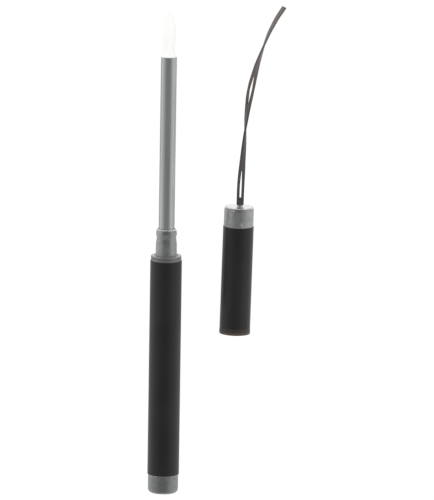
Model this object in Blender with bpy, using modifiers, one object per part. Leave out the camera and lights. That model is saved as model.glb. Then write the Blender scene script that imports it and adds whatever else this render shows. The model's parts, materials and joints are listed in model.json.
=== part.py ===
"""A capped stylus: a shaft with a white nib slides into a black barrel, and its cap carries a short strap.

Metres, with +Z up. The pen lies along +Y with its shaft drawn out and its nib at +Y. The cap is taken off
and lies beside it at +X with its closed end at +Y. The strap comes down from the cap's closed end to the
surface z = 0 that everything lies on. The origin is on that surface, at the middle of the pen and cap.
"""

import math

import bmesh
import bpy
from mathutils import Matrix, Vector

MM = 0.001

# Fits between the pieces
PRESS_GAP = 0.05 * MM  # pieces that are pressed or glued together
RUN_GAP = 0.05 * MM  # pieces that slide in each other
STOP_GAP = 0.3 * MM  # slider to bush when the shaft is drawn out
LIE_GAP = 0.05 * MM  # strap to the surface it lies on

# Shaft, slider and friction ring
SHAFT_D = 4.5 * MM
SHAFT_WALL = 0.35 * MM
SHAFT_OUT = 49.52 * MM  # bare tube between the neck and the nib
SHAFT_EDGE = 0.12 * MM
SLIDER_LENGTH = 4.5 * MM
SLIDER_STEM = 6.0 * MM
SLIDER_EDGE = 0.3 * MM
RING_SECTION = 0.9 * MM
RING_SIDE_GAP = 0.15 * MM

# Nib
NIB_LENGTH = 12.5 * MM
NIB_STEM = 8.0 * MM
NIB_WAIST_D = 3.4 * MM
NIB_WAIST_AT = 2.0 * MM  # from the nib's base
NIB_BELLY_D = 4.05 * MM
NIB_BELLY_AT = 6.4 * MM

# Guide bush
BUSH_WALL = 0.7 * MM
BUSH_LENGTH = 6.0 * MM  # inside the collar
BUSH_FLANGE = 1.0 * MM
BUSH_RIM = 0.6 * MM  # how far its flange stands out

# Collar
SPIGOT_WALL = 0.9 * MM
SPIGOT_LENGTH = 8.0 * MM  # inside the barrel
SPIGOT_EDGE = 0.3 * MM
FLANGE_STEP = 0.17 * MM  # flange below the barrel's surface
FLANGE_LENGTH = 1.4 * MM
FLANGE_EDGE = 0.18 * MM
NECK_PLAY = 0.1 * MM
NECK_WALL = 0.44 * MM  # at the bottom of the groove
NECK_LENGTH = 7.78 * MM
NECK_ROOT_FILLET = 0.35 * MM
NECK_SWELL = 0.2 * MM  # body above the groove
NECK_SWELL_AT = 4.3 * MM  # from the neck's front
NECK_KNEE = 2.0 * MM  # rounding where the body starts
NECK_ROOT_SWELL = 0.25 * MM
LIP_RISE = 0.19 * MM
LIP_LENGTH = 1.7 * MM
LIP_EDGE = 0.35 * MM
LIP_CREST_AT = 1.4 * MM  # widest place of the lip, from the neck's front
LIP_FALL = 0.17 * MM  # how much the lip narrows from there to its nose
NOSE_LENGTH = 0.44 * MM  # bevel at the neck's front
NOSE_WALL = 0.1 * MM  # wall that the bevel leaves
NOSE_EDGE = 0.1 * MM
GROOVE_AT = 2.58 * MM  # middle of the groove, from the neck's front
GROOVE_LENGTH = 0.5 * MM

# Barrel and tail plug
BARREL_WALL = 0.5 * MM
BARREL_LENGTH = 62.0 * MM
BARREL_EDGE = 0.15 * MM
TAIL_STEP = 0.2 * MM  # tail below the barrel's surface
TAIL_LENGTH = 5.33 * MM
TAIL_EDGE = 1.2 * MM
TAIL_SPIGOT = 4.9 * MM
TAIL_WALL = 1.45 * MM
TAIL_END_WALL = 2.0 * MM

# Cap
CAP_SLIP = 0.16 * MM  # liner to the neck's root when the cap is on
LINER_WALL = 0.7 * MM
LINER_RECESS = 0.4 * MM
LINER_BEYOND = 1.2 * MM  # liner past its ridge
RIDGE_BITE = 0.08 * MM  # ridge inside the neck's lip
RIDGE_LENGTH = 0.5 * MM
RIDGE_RAMP = 0.6 * MM
CAP_WALL = 0.4 * MM
CAP_LENGTH = 31.1 * MM
CAP_EDGE = 0.12 * MM
RIM_RISE = 0.06 * MM
RIM_LENGTH = 0.9 * MM
CAP_END_STEP = 0.15 * MM
CAP_END_LENGTH = 5.5 * MM
CAP_END_EDGE = 0.3 * MM
CAP_END_TAPER = 1.0 * MM  # length of the slight taper at its closed end
CAP_END_FALL = 0.18 * MM  # how much it narrows there
CAP_END_SPIGOT = 4.0 * MM

# Strap, its post and its boot
POST_D = 1.6 * MM
POST_ASIDE = 0.2 * MM  # post, boot and strap to the right of the cap's axis, as the photo shows them
POST_OUT = 0.35 * MM
POST_DEPTH = 3.0 * MM
PEG_D = 0.9 * MM  # thin end of the post, in the boot
PEG_LENGTH = 0.5 * MM
BOOT_WIDTH = 2.05 * MM
BOOT_THICKNESS = 1.5 * MM
BOOT_LENGTH = 1.65 * MM
BOOT_EDGE = 0.2 * MM
BOOT_GRIP = 0.8 * MM  # strap held inside the boot
STRAP_WIDTH = 2.05 * MM
STRAP_THICKNESS = 0.6 * MM
SLOT_WIDTH = 0.5 * MM
SLOTS = ((1.6 * MM, 8.7 * MM), (28.0 * MM, 36.2 * MM))  # start and end, along the strap
STRAP_STEP = 1.0 * MM

# Where the cap lies, from the middle of the tail's end, and its lean to the pen
CAP_ASIDE = 19.79 * MM
CAP_AHEAD = 46.53 * MM
CAP_LEAN = math.radians(1.2)

# Middle of the strap: across the cap from the boot's middle and along it from the boot's top in millimetres,
# how much of the axis's height is left, and the turn of its flat side in degrees
STRAP_ROUTE = (
    (0.00, 0.0, 1.00, 0),
    (-0.01, 1.7, 0.99, 5),
    (0.01, 4.0, 0.92, 13),
    (0.08, 6.2, 0.80, 24),
    (0.18, 8.4, 0.62, 36),
    (0.29, 10.7, 0.43, 49),
    (0.41, 12.9, 0.26, 57),
    (0.53, 15.1, 0.12, 65),
    (0.63, 17.4, 0.03, 76),
    (0.73, 19.7, 0.00, 90),
    (0.86, 22.0, 0.00, 105),
    (1.05, 24.3, 0.00, 117),
    (1.28, 26.6, 0.00, 131),
    (1.57, 28.9, 0.00, 151),
    (1.93, 31.2, 0.00, 178),
    (2.36, 33.6, 0.00, 204),
    (2.85, 35.9, 0.00, 221),
    (3.41, 38.3, 0.00, 234),
    (4.06, 40.6, 0.00, 248),
    (4.80, 43.0, 0.00, 261),
    (5.59, 45.3, 0.00, 272),
    (6.49, 47.7, 0.00, 280),
    (7.55, 50.0, 0.00, 285),
    (8.76, 52.4, 0.00, 288),
    (9.81, 54.1, 0.00, 290),
    (10.66, 55.5, 0.00, 291),
)

# Sizes that follow from those above: each wall and gap is added outwards from the shaft
BUSH_BORE = SHAFT_D / 2 + RUN_GAP
BUSH_R = BUSH_BORE + BUSH_WALL
SPIGOT_BORE = BUSH_R + PRESS_GAP
SPIGOT_R = SPIGOT_BORE + SPIGOT_WALL
BARREL_BORE = SPIGOT_R + PRESS_GAP
BARREL_R = BARREL_BORE + BARREL_WALL
SHAFT_BORE = SHAFT_D / 2 - SHAFT_WALL
NECK_BORE = SHAFT_D / 2 + NECK_PLAY
GROOVE_R = NECK_BORE + NECK_WALL
LIP_R = GROOVE_R + LIP_RISE
ROOT_R = GROOVE_R + NECK_ROOT_SWELL
LINER_BORE = ROOT_R + CAP_SLIP
LINER_R = LINER_BORE + LINER_WALL
CAP_BORE = LINER_R + PRESS_GAP
CAP_R = CAP_BORE + CAP_WALL
RIM_R = CAP_R + RIM_RISE

# Places along the pen, from the tail's end
BARREL_BACK = TAIL_LENGTH + PRESS_GAP
BARREL_FRONT = BARREL_BACK + BARREL_LENGTH
FLANGE_BACK = BARREL_FRONT + PRESS_GAP
FLANGE_FRONT = FLANGE_BACK + FLANGE_LENGTH
NECK_FRONT = FLANGE_FRONT + NECK_LENGTH
SPIGOT_BACK = FLANGE_BACK - SPIGOT_LENGTH
BUSH_BACK = SPIGOT_BACK - PRESS_GAP - BUSH_FLANGE
SLIDER_FRONT = BUSH_BACK - STOP_GAP
SHAFT_FRONT = NECK_FRONT + SHAFT_OUT
NIB_BASE = SHAFT_FRONT + PRESS_GAP
NIB_FRONT = NIB_BASE + NIB_LENGTH
SHAFT_STROKE = SLIDER_FRONT - SLIDER_LENGTH - STOP_GAP - TAIL_LENGTH - TAIL_SPIGOT

# Places along the cap, from its mouth
CAP_END_BACK = CAP_LENGTH + PRESS_GAP
CAP_TOP = CAP_END_BACK + CAP_END_LENGTH
POST_FOOT = CAP_TOP - POST_DEPTH
POST_TOP = CAP_TOP + POST_OUT
BOOT_BACK = POST_TOP + PRESS_GAP
BOOT_TOP = BOOT_BACK + BOOT_LENGTH
STRAP_FOOT = BOOT_TOP - BOOT_GRIP + PRESS_GAP

# Facets
SEGMENTS = 40
POST_SEGMENTS = 24
ARC_CHORD = 0.2 * MM  # a rounding has a facet for each of these in its radius
ARC_MOST = 4
NIB_STEPS = 6
RING_STEPS = 10
MERGE_DISTANCE = 1e-6

# Finishes: sRGB colour, roughness, metallic
BLACK_LACQUER = ((36, 36, 37), 0.42, 0.0)
SATIN_SILVER = ((148, 150, 149), 0.48, 0.85)
DRAWN_TUBE = ((160, 166, 162), 0.34, 1.0)
WHITE_NIB = ((242, 242, 238), 0.38, 0.0)
PALE_MOULDING = ((222, 220, 212), 0.5, 0.0)
DARK_LINER = ((58, 58, 60), 0.6, 0.0)
BLACK_RUBBER = ((30, 30, 30), 0.8, 0.0)
DARK_BOOT = ((62, 54, 54), 0.6, 0.0)
DARK_STRAP = ((92, 84, 80), 0.7, 0.0)


def clear_scene():
    """Remove whatever the scene holds."""
    for old in list(bpy.data.objects):
        bpy.data.objects.remove(old, do_unlink=True)


def new_collection(name):
    """Add a collection to the scene."""
    collection = bpy.data.collections.new(name)
    bpy.context.scene.collection.children.link(collection)
    return collection


def new_empty(name, parent, location, rotation=(0, 0, 0)):
    """Add an empty that carries pieces on one axis."""
    empty = bpy.data.objects.new(name, None)
    empty.parent = parent
    empty.location = location
    empty.rotation_euler = rotation
    PARTS.objects.link(empty)
    return empty


def linear(channel):
    """Linear value of an sRGB channel from 0 to 255."""
    share = channel / 255
    return share / 12.92 if share <= 0.04045 else ((share + 0.055) / 1.055) ** 2.4


def dress(piece, finish):
    """Give a piece its own material."""
    colour, roughness, metallic = finish
    material = bpy.data.materials.new(piece.name + "_finish")
    material.use_nodes = True
    shader = material.node_tree.nodes["Principled BSDF"]
    shader.inputs["Base Color"].default_value = (*map(linear, colour), 1)
    shader.inputs["Roughness"].default_value = roughness
    shader.inputs["Metallic"].default_value = metallic
    piece.data.materials.append(material)


def rounded(corners, closed=True):
    """Outline with its corners, each (radius, along, rounding), turned into arcs."""
    points = []
    for i, (radius, along, rounding) in enumerate(corners):
        here = Vector((radius, along))
        is_end = not closed and i in (0, len(corners) - 1)
        if is_end or not rounding:
            points.append(here)
            continue
        before = Vector(corners[i - 1][:2]) - here
        after = Vector(corners[(i + 1) % len(corners)][:2]) - here
        half = before.angle(after) / 2
        reach = min(rounding / math.tan(half), 0.45 * before.length, 0.45 * after.length)
        start = here + reach * before.normalized()
        end = here + reach * after.normalized()
        bisector = (before.normalized() + after.normalized()).normalized()
        centre = here + bisector * reach / math.cos(half)
        steps = min(math.ceil(rounding / ARC_CHORD), ARC_MOST)
        for step in range(steps + 1):
            spoke = (start - centre).lerp(end - centre, step / steps)
            points.append(centre + spoke.normalized() * (start - centre).length)
    return points


def turned(name, outline, parent, finish, closed=True, segments=SEGMENTS):
    """Turned piece whose outline, in radius to the flats and place along the axis, goes round local Z."""
    to_corner = 1 / math.cos(math.pi / segments)
    points = [(radius * to_corner, 0, along) for radius, along in outline]
    edges = [(i, i + 1) for i in range(len(points) - 1)]
    if closed:
        edges.append((len(points) - 1, 0))
    mesh = bpy.data.meshes.new(name)
    mesh.from_pydata(points, edges, [])
    piece = bpy.data.objects.new(name, mesh)
    piece.parent = parent
    piece.rotation_euler.z = math.pi / segments
    PARTS.objects.link(piece)
    dress(piece, finish)
    screw = piece.modifiers.new("turn", "SCREW")
    screw.steps = segments
    screw.render_steps = segments
    screw.use_merge_vertices = True
    screw.merge_threshold = MERGE_DISTANCE
    screw.use_smooth_shade = True
    return piece


def barrel_tube(pen):
    """Plain tube that the shaft slides into."""
    turned("barrel_tube", rounded([
        (BARREL_R, BARREL_FRONT, BARREL_EDGE),
        (BARREL_R, BARREL_BACK, BARREL_EDGE),
        (BARREL_BORE, BARREL_BACK, 0),
        (BARREL_BORE, BARREL_FRONT, 0),
    ]), pen, BLACK_LACQUER)


def end_plug(pen):
    """Tail of the barrel, cored out from inside."""
    tail_r = BARREL_R - TAIL_STEP
    spigot_front = TAIL_LENGTH + TAIL_SPIGOT
    core_r = BARREL_BORE - PRESS_GAP - TAIL_WALL
    turned("end_plug", rounded([
        (0, TAIL_END_WALL, 0),
        (core_r, TAIL_END_WALL, 0),
        (core_r, spigot_front, 0),
        (BARREL_BORE - PRESS_GAP, spigot_front, SPIGOT_EDGE),
        (BARREL_BORE - PRESS_GAP, TAIL_LENGTH, 0),
        (tail_r, TAIL_LENGTH, 0),
        (tail_r, 0, TAIL_EDGE),
        (0, 0, 0),
    ], closed=False), pen, SATIN_SILVER, closed=False)


def collar(pen):
    """Front end of the barrel: spigot, flange, and the neck that the cap snaps onto."""
    groove_front = NECK_FRONT - GROOVE_AT + GROOVE_LENGTH / 2
    groove_back = NECK_FRONT - GROOVE_AT - GROOVE_LENGTH / 2
    swell = (GROOVE_R + NECK_SWELL, NECK_FRONT - NECK_SWELL_AT)
    flange_r = BARREL_R - FLANGE_STEP
    bush_seat = SPIGOT_BACK + BUSH_LENGTH + PRESS_GAP
    turned("collar", rounded([
        (NECK_BORE + NOSE_WALL, NECK_FRONT, 0),
        (LIP_R - LIP_FALL, NECK_FRONT - NOSE_LENGTH, NOSE_EDGE),
        (LIP_R, NECK_FRONT - LIP_CREST_AT, LIP_EDGE),
        (LIP_R, NECK_FRONT - LIP_LENGTH, LIP_EDGE),
        (GROOVE_R, groove_front, LIP_EDGE),
        (GROOVE_R, groove_back, LIP_EDGE),
        (*swell, NECK_KNEE),
        (ROOT_R, FLANGE_FRONT, NECK_ROOT_FILLET),
        (flange_r, FLANGE_FRONT, FLANGE_EDGE),
        (flange_r, FLANGE_BACK, FLANGE_EDGE),
        (SPIGOT_R, FLANGE_BACK, 0),
        (SPIGOT_R, SPIGOT_BACK, SPIGOT_EDGE),
        (SPIGOT_BORE, SPIGOT_BACK, 0),
        (SPIGOT_BORE, bush_seat, 0),
        (NECK_BORE, bush_seat, 0),
        (NECK_BORE, NECK_FRONT, 0),
    ]), pen, SATIN_SILVER)


def guide_bush(pen):
    """Slippery bush that guides the shaft and stops its slider."""
    front = SPIGOT_BACK + BUSH_LENGTH
    flange_r = BUSH_R + BUSH_RIM
    turned("guide_bush", [
        (BUSH_R, front),
        (BUSH_R, SPIGOT_BACK - PRESS_GAP),
        (flange_r, SPIGOT_BACK - PRESS_GAP),
        (flange_r, BUSH_BACK),
        (BUSH_BORE, BUSH_BACK),
        (BUSH_BORE, front),
    ], pen, PALE_MOULDING)


def shaft_tube(shaft):
    """Drawn metal tube, open at both ends."""
    back = SLIDER_FRONT + PRESS_GAP
    turned("shaft_tube", rounded([
        (SHAFT_D / 2, SHAFT_FRONT, SHAFT_EDGE),
        (SHAFT_D / 2, back, SHAFT_EDGE),
        (SHAFT_BORE, back, 0),
        (SHAFT_BORE, SHAFT_FRONT, 0),
    ]), shaft, DRAWN_TUBE)


def nib_radius(along):
    """Radius of the nib at a place from its base: a flare, a swelling belly and a half-ellipse point."""
    waist, belly = NIB_WAIST_D / 2, NIB_BELLY_D / 2
    if along < NIB_WAIST_AT:
        return waist + (SHAFT_D / 2 - waist) * (1 - math.sin(math.pi / 2 * along / NIB_WAIST_AT))
    if along < NIB_BELLY_AT:
        share = (along - NIB_WAIST_AT) / (NIB_BELLY_AT - NIB_WAIST_AT)
        return waist + (belly - waist) * (1 - math.cos(math.pi * share)) / 2
    share = (along - NIB_BELLY_AT) / (NIB_LENGTH - NIB_BELLY_AT)
    return belly * math.sqrt(max(0, 1 - share**2))


def nib(shaft):
    """Moulded white nib with the stem that holds it in the tube."""
    places = [NIB_WAIST_AT * i / NIB_STEPS for i in range(NIB_STEPS)]
    places += [NIB_WAIST_AT + (NIB_BELLY_AT - NIB_WAIST_AT) * i / NIB_STEPS for i in range(NIB_STEPS)]
    turns = [math.pi / 2 * i / NIB_STEPS for i in range(NIB_STEPS)]
    places += [NIB_BELLY_AT + (NIB_LENGTH - NIB_BELLY_AT) * math.sin(turn) for turn in turns]
    stem_r = SHAFT_BORE - PRESS_GAP
    outline = [(0, NIB_FRONT)]
    outline += [(nib_radius(place), NIB_BASE + place) for place in reversed(places)]
    outline += [(stem_r, NIB_BASE), (stem_r, NIB_BASE - NIB_STEM), (0, NIB_BASE - NIB_STEM)]
    turned("nib", outline, shaft, WHITE_NIB, closed=False)


def ring_groove():
    """Bottom radius, front and back of the slider's groove for the friction ring."""
    bottom = BARREL_BORE - RUN_GAP - RING_SECTION - PRESS_GAP
    middle = SLIDER_FRONT - SLIDER_LENGTH / 2
    half = RING_SECTION / 2 + RING_SIDE_GAP
    return bottom, middle + half, middle - half


def slider(shaft):
    """Plastic piston on the shaft's inner end, with a stem in the tube and a groove for the ring."""
    head_r = BARREL_BORE - RUN_GAP
    stem_r = SHAFT_BORE - PRESS_GAP
    bottom, front, back = ring_groove()
    turned("slider", rounded([
        (0, SLIDER_FRONT + SLIDER_STEM, 0),
        (stem_r, SLIDER_FRONT + SLIDER_STEM, SLIDER_EDGE),
        (stem_r, SLIDER_FRONT, 0),
        (head_r, SLIDER_FRONT, SLIDER_EDGE),
        (head_r, front, 0),
        (bottom, front, 0),
        (bottom, back, 0),
        (head_r, back, 0),
        (head_r, SLIDER_FRONT - SLIDER_LENGTH, SLIDER_EDGE),
        (0, SLIDER_FRONT - SLIDER_LENGTH, 0),
    ], closed=False), shaft, PALE_MOULDING, closed=False)


def friction_ring(shaft):
    """Rubber ring that holds the shaft where it is put."""
    bottom, front, back = ring_groove()
    radius = RING_SECTION / 2
    middle_r = bottom + PRESS_GAP + radius
    turns = [-math.tau * i / RING_STEPS for i in range(RING_STEPS)]
    outline = [
        (middle_r + radius * math.cos(turn), (front + back) / 2 + radius * math.sin(turn)) for turn in turns
    ]
    turned("friction_ring", outline, shaft, BLACK_RUBBER)


def cap_tube(cap):
    """Black sleeve of the cap, with a rolled rim at its mouth."""
    turned("cap_tube", rounded([
        (CAP_R, CAP_LENGTH, CAP_EDGE),
        (CAP_R, 2 * RIM_LENGTH, RIM_LENGTH),
        (RIM_R, RIM_LENGTH, RIM_LENGTH),
        (RIM_R, 0, CAP_WALL / 2),
        (CAP_BORE, 0, CAP_WALL / 2),
        (CAP_BORE, CAP_LENGTH, 0),
    ]), cap, BLACK_LACQUER)


def cap_liner(cap):
    """Short sleeve in the cap's mouth, whose ridge snaps into the neck's groove."""
    ridge_r = LIP_R - RIDGE_BITE
    ridge_at = NECK_LENGTH - GROOVE_AT
    half = RIDGE_LENGTH / 2
    inner_end = ridge_at + half + RIDGE_RAMP + LINER_BEYOND
    turned("cap_liner", rounded([
        (LINER_R, inner_end, 0),
        (LINER_R, LINER_RECESS, 0),
        (LINER_BORE, LINER_RECESS, CAP_WALL),
        (LINER_BORE, ridge_at - half - RIDGE_RAMP, 0),
        (ridge_r, ridge_at - half, 0),
        (ridge_r, ridge_at + half, 0),
        (LINER_BORE, ridge_at + half + RIDGE_RAMP, 0),
        (LINER_BORE, inner_end, 0),
    ]), cap, DARK_LINER)


def cap_end(cap):
    """Closed end of the cap, with a blind hole for the strap's post."""
    spigot_r = CAP_BORE - PRESS_GAP
    spigot_back = CAP_END_BACK - CAP_END_SPIGOT
    end_r = CAP_R - CAP_END_STEP
    end = turned("cap_end", rounded([
        (0, CAP_TOP, 0),
        (end_r - CAP_END_FALL, CAP_TOP, CAP_END_EDGE),
        (end_r, CAP_TOP - CAP_END_TAPER, CAP_END_TAPER),
        (end_r, CAP_END_BACK, 0),
        (spigot_r, CAP_END_BACK, 0),
        (spigot_r, spigot_back, SPIGOT_EDGE),
        (0, spigot_back, 0),
    ], closed=False), cap, SATIN_SILVER, closed=False)
    hole = rod(POST_D / 2 + PRESS_GAP, 2 * (POST_DEPTH + PRESS_GAP), (POST_ASIDE, 0, CAP_TOP))
    cut(end, cutter("post_hole", hole, cap))


def strap_post(cap):
    """Round post pressed into the cap's end, with a thin peg for the boot."""
    post = turned("strap_post", [
        (0, POST_TOP + PEG_LENGTH),
        (PEG_D / 2, POST_TOP + PEG_LENGTH),
        (PEG_D / 2, POST_TOP),
        (POST_D / 2, POST_TOP),
        (POST_D / 2, POST_FOOT),
        (0, POST_FOOT),
    ], cap, SATIN_SILVER, closed=False, segments=POST_SEGMENTS)
    post.location.x = POST_ASIDE


def cutter(name, shape, parent):
    """Closed shape that is cut out of a piece, kept out of the render."""
    mesh = bpy.data.meshes.new(name)
    shape.to_mesh(mesh)
    shape.free()
    tool = bpy.data.objects.new(name, mesh)
    tool.parent = parent
    tool.hide_render = True
    tool.display_type = "WIRE"
    CUTTERS.objects.link(tool)
    return tool


def block(size, centre):
    """Box as a bmesh, of that size about that centre."""
    shape = bmesh.new()
    bmesh.ops.create_cube(shape, matrix=Matrix.Translation(centre) @ Matrix.Diagonal((*size, 1)))
    return shape


def rod(radius, length, centre):
    """Cylinder along local Z as a bmesh, of that radius and length about that centre."""
    shape = bmesh.new()
    bmesh.ops.create_cone(
        shape, cap_ends=True, segments=POST_SEGMENTS, radius1=radius, radius2=radius, depth=length,
        matrix=Matrix.Translation(centre),
    )
    return shape


def cut(piece, tool):
    """Take a cutter out of a piece."""
    boolean = piece.modifiers.new(tool.name, "BOOLEAN")
    boolean.operation = "DIFFERENCE"
    boolean.object = tool


def strap_boot(cap):
    """Rounded block that sits on the post's peg and grips the strap between two cheeks."""
    body = block((BOOT_WIDTH, BOOT_THICKNESS, BOOT_LENGTH), (POST_ASIDE, 0, BOOT_BACK + BOOT_LENGTH / 2))
    mesh = bpy.data.meshes.new("strap_boot")
    body.to_mesh(mesh)
    body.free()
    boot = bpy.data.objects.new("strap_boot", mesh)
    boot.parent = cap
    PARTS.objects.link(boot)
    dress(boot, DARK_BOOT)
    bevel = boot.modifiers.new("edges", "BEVEL")
    bevel.width = BOOT_EDGE
    bevel.segments = 2
    slit = block(
        (2 * BOOT_WIDTH, STRAP_THICKNESS + 2 * PRESS_GAP, 2 * BOOT_GRIP),
        (POST_ASIDE, 0, BOOT_TOP),
    )
    cut(boot, cutter("boot_slit", slit, cap))
    hole = rod(PEG_D / 2 + PRESS_GAP, 2 * (PEG_LENGTH + PRESS_GAP), (POST_ASIDE, 0, BOOT_BACK))
    cut(boot, cutter("boot_hole", hole, cap))


def through(stations, at):
    """Smooth curve through stations, each a value list, read at a place counted in stations."""
    last = len(stations) - 1
    i = min(int(at), last - 1)
    t = at - i
    before, start, end, after = (
        Vector(stations[min(max(k, 0), last)]) for k in (i - 1, i, i + 1, i + 2)
    )
    slope_in = (end - before) / 2
    slope_out = (after - start) / 2
    return (
        (2 * t**3 - 3 * t**2 + 1) * start + (t**3 - 2 * t**2 + t) * slope_in
        + (3 * t**2 - 2 * t**3) * end + (t**3 - t**2) * slope_out
    )


def strap_middle(steps_per_station=20):
    """Points of the strap's middle in the cap's frame with their turns, close together, from foot to end."""
    points = [(Vector((POST_ASIDE, 0, STRAP_FOOT)), 0.0)]
    for k in range((len(STRAP_ROUTE) - 1) * steps_per_station + 1):
        across, along, lift, turn = through(STRAP_ROUTE, k / steps_per_station)
        turn = math.radians(turn)
        half_height = (STRAP_WIDTH * abs(math.sin(turn)) + STRAP_THICKNESS * abs(math.cos(turn))) / 2
        lying = half_height + LIE_GAP
        height = lying + (RIM_R - lying) * lift
        points.append((Vector((POST_ASIDE + across * MM, RIM_R - height, BOOT_TOP + along * MM)), turn))
    return points


def strap_rows(length):
    """Places along the strap where its surface has a row of points, with rows at the slots' ends."""
    stops = [0, *(end for slot in SLOTS for end in slot), length]
    rows = []
    for start, end in zip(stops, stops[1:]):
        count = max(1, round((end - start) / STRAP_STEP))
        rows += [start + (end - start) * i / count for i in range(count)]
    return rows + [length]


def strap(cap):
    """Flat twisted band with two long slots, as a surface that is given its thickness."""
    middle = strap_middle()
    reach = [0.0]
    for (start, _), (end, _) in zip(middle, middle[1:]):
        reach.append(reach[-1] + (end - start).length)
    rows = strap_rows(reach[-1])
    columns = (-STRAP_WIDTH / 2, -SLOT_WIDTH / 2, SLOT_WIDTH / 2, STRAP_WIDTH / 2)
    surface = bmesh.new()
    bmesh.ops.create_grid(surface, x_segments=len(rows) - 1, y_segments=len(columns) - 1, size=1)
    in_slot = []
    for face in surface.faces:
        centre = face.calc_center_median()
        row = int((centre.x + 1) / 2 * (len(rows) - 1))
        place = (rows[row] + rows[row + 1]) / 2
        if abs(centre.y) < 1 / 3 and any(start < place < end for start, end in SLOTS):
            in_slot.append(face)
    for point in surface.verts:
        place = rows[round((point.co.x + 1) / 2 * (len(rows) - 1))]
        aside = columns[round((point.co.y + 1) / 2 * (len(columns) - 1))]
        k = min(max(1, next(i for i, r in enumerate(reach) if r >= place - MERGE_DISTANCE)), len(reach) - 2)
        share = (place - reach[k - 1]) / (reach[k] - reach[k - 1])
        here = middle[k - 1][0].lerp(middle[k][0], share)
        turn = middle[k - 1][1] + (middle[k][1] - middle[k - 1][1]) * share
        ahead = (middle[k + 1][0] - middle[k - 1][0]).normalized()
        level = Vector((0, -1, 0)).cross(ahead).normalized()
        upright = ahead.cross(level)
        point.co = here + aside * (math.cos(turn) * level + math.sin(turn) * upright)
    bmesh.ops.delete(surface, geom=in_slot, context="FACES")
    mesh = bpy.data.meshes.new("strap")
    surface.to_mesh(mesh)
    surface.free()
    band = bpy.data.objects.new("strap", mesh)
    band.parent = cap
    PARTS.objects.link(band)
    dress(band, DARK_STRAP)
    wall = band.modifiers.new("thickness", "SOLIDIFY")
    wall.thickness = STRAP_THICKNESS
    wall.offset = 0
    wall.use_even_offset = True
    print(f"strap {reach[-1] / MM:.1f} mm long")


def build():
    """Place the pen and the cap, and make their pieces."""
    cap_right = CAP_ASIDE + CAP_LENGTH * math.sin(CAP_LEAN) + CAP_R * math.cos(CAP_LEAN)
    middle = ((cap_right - BARREL_R) / 2, NIB_FRONT / 2)
    along_y = -math.pi / 2
    frame = new_empty("stylus_frame", None, (-middle[0], -middle[1], 0))
    pen = new_empty("pen_axis", frame, (0, 0, BARREL_R), (along_y, 0, 0))
    shaft = new_empty("shaft_slide_axis", pen, (0, 0, 0))
    cap = new_empty("cap_axis", frame, (CAP_ASIDE, CAP_AHEAD, RIM_R), (along_y, 0, -CAP_LEAN))
    for make in (barrel_tube, end_plug, collar, guide_bush):
        make(pen)
    for make in (shaft_tube, nib, slider, friction_ring):
        make(shaft)
    for make in (cap_tube, cap_liner, cap_end, strap_post, strap_boot, strap):
        make(cap)
    print(f"shaft stroke {SHAFT_STROKE / MM:.1f} mm, pen {NIB_FRONT / MM:.1f} mm, frame at {middle}")


clear_scene()
PARTS = new_collection("stylus_pen")
CUTTERS = new_collection("stylus_pen_cutters")
build()
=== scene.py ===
"""Looks of a capped stylus beside its cap: turned pieces, a slotted lace, finishes, light and camera.

Metres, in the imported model's own frame: +Z up, the pen along +Y with its nib at +Y, the cap beside it at
+X, everything lying on z = 0. Turned pieces and the lace are laid out by Geometry Nodes and kept as plain
meshes.
"""

import json
import logging
import math
from dataclasses import dataclass, replace
from enum import Enum
from typing import Any, ClassVar, NamedTuple

import bmesh
import bpy
from mathutils import Euler, Matrix, Vector

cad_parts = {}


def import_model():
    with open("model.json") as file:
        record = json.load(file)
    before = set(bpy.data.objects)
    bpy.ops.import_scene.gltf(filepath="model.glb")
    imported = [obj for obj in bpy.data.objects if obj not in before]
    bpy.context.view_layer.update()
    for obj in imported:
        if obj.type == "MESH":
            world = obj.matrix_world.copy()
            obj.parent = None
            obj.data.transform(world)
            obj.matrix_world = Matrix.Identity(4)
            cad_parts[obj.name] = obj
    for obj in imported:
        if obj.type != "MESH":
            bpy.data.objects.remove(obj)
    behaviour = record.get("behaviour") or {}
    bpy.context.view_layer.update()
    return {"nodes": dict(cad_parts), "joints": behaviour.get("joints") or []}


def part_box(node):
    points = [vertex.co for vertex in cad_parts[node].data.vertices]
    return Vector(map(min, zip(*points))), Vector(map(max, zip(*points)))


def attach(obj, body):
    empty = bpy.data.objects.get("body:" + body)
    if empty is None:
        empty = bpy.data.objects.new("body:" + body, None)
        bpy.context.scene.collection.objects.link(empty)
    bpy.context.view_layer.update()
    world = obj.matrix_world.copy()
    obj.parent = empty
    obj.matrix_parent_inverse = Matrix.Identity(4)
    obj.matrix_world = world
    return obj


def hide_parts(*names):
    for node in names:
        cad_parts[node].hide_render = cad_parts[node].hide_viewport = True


Pair = tuple[float, float]
Triple = tuple[float, float, float]
Socket = bpy.types.NodeSocket

LOG = logging.getLogger("stylus")
MM = 0.001
SAME_POINT = 1e-7  # points closer than this are merged
SLIVER = 1e-8  # edges shorter than this are dissolved
ROUND_OFF = 1e-9  # slack where two lengths are compared
SHARP = math.radians(38.0)  # angle past which an edge shades sharp

# Point attributes: wear is 1 where metal is rubbed bright or lacquer is rubbed thin, more where metal is
# turned bright, and below 0 where metal turns duller and darker, which at the neck's root is painted shade;
# on the cap's rolled rim the paler lacquer is a painted warm reflection; the lace's map is metres across and
# along it
WEAR_AND_PAINTED_LIGHT = "edge_wear"
LACE_MAP = "lace_map"
NOISE = (0.3, 0.7)  # values that most of a noise texture lies between


class Body(Enum):
    """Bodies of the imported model."""

    BARREL = "barrel"
    SHAFT = "shaft"
    CAP = "cap"


class Corner(NamedTuple):
    """Corner of a half section: radius, place along the axis, rounding, wear there and on the next flat;
    wear below 0 darkens metal, as painted shade at the neck's root, and on the cap's rim wear paints a warm
    reflection.
    """

    radius: float
    along: float
    rounding: float = 0.0
    wear: float = 0.0
    flat_wear: float = 0.0


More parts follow.
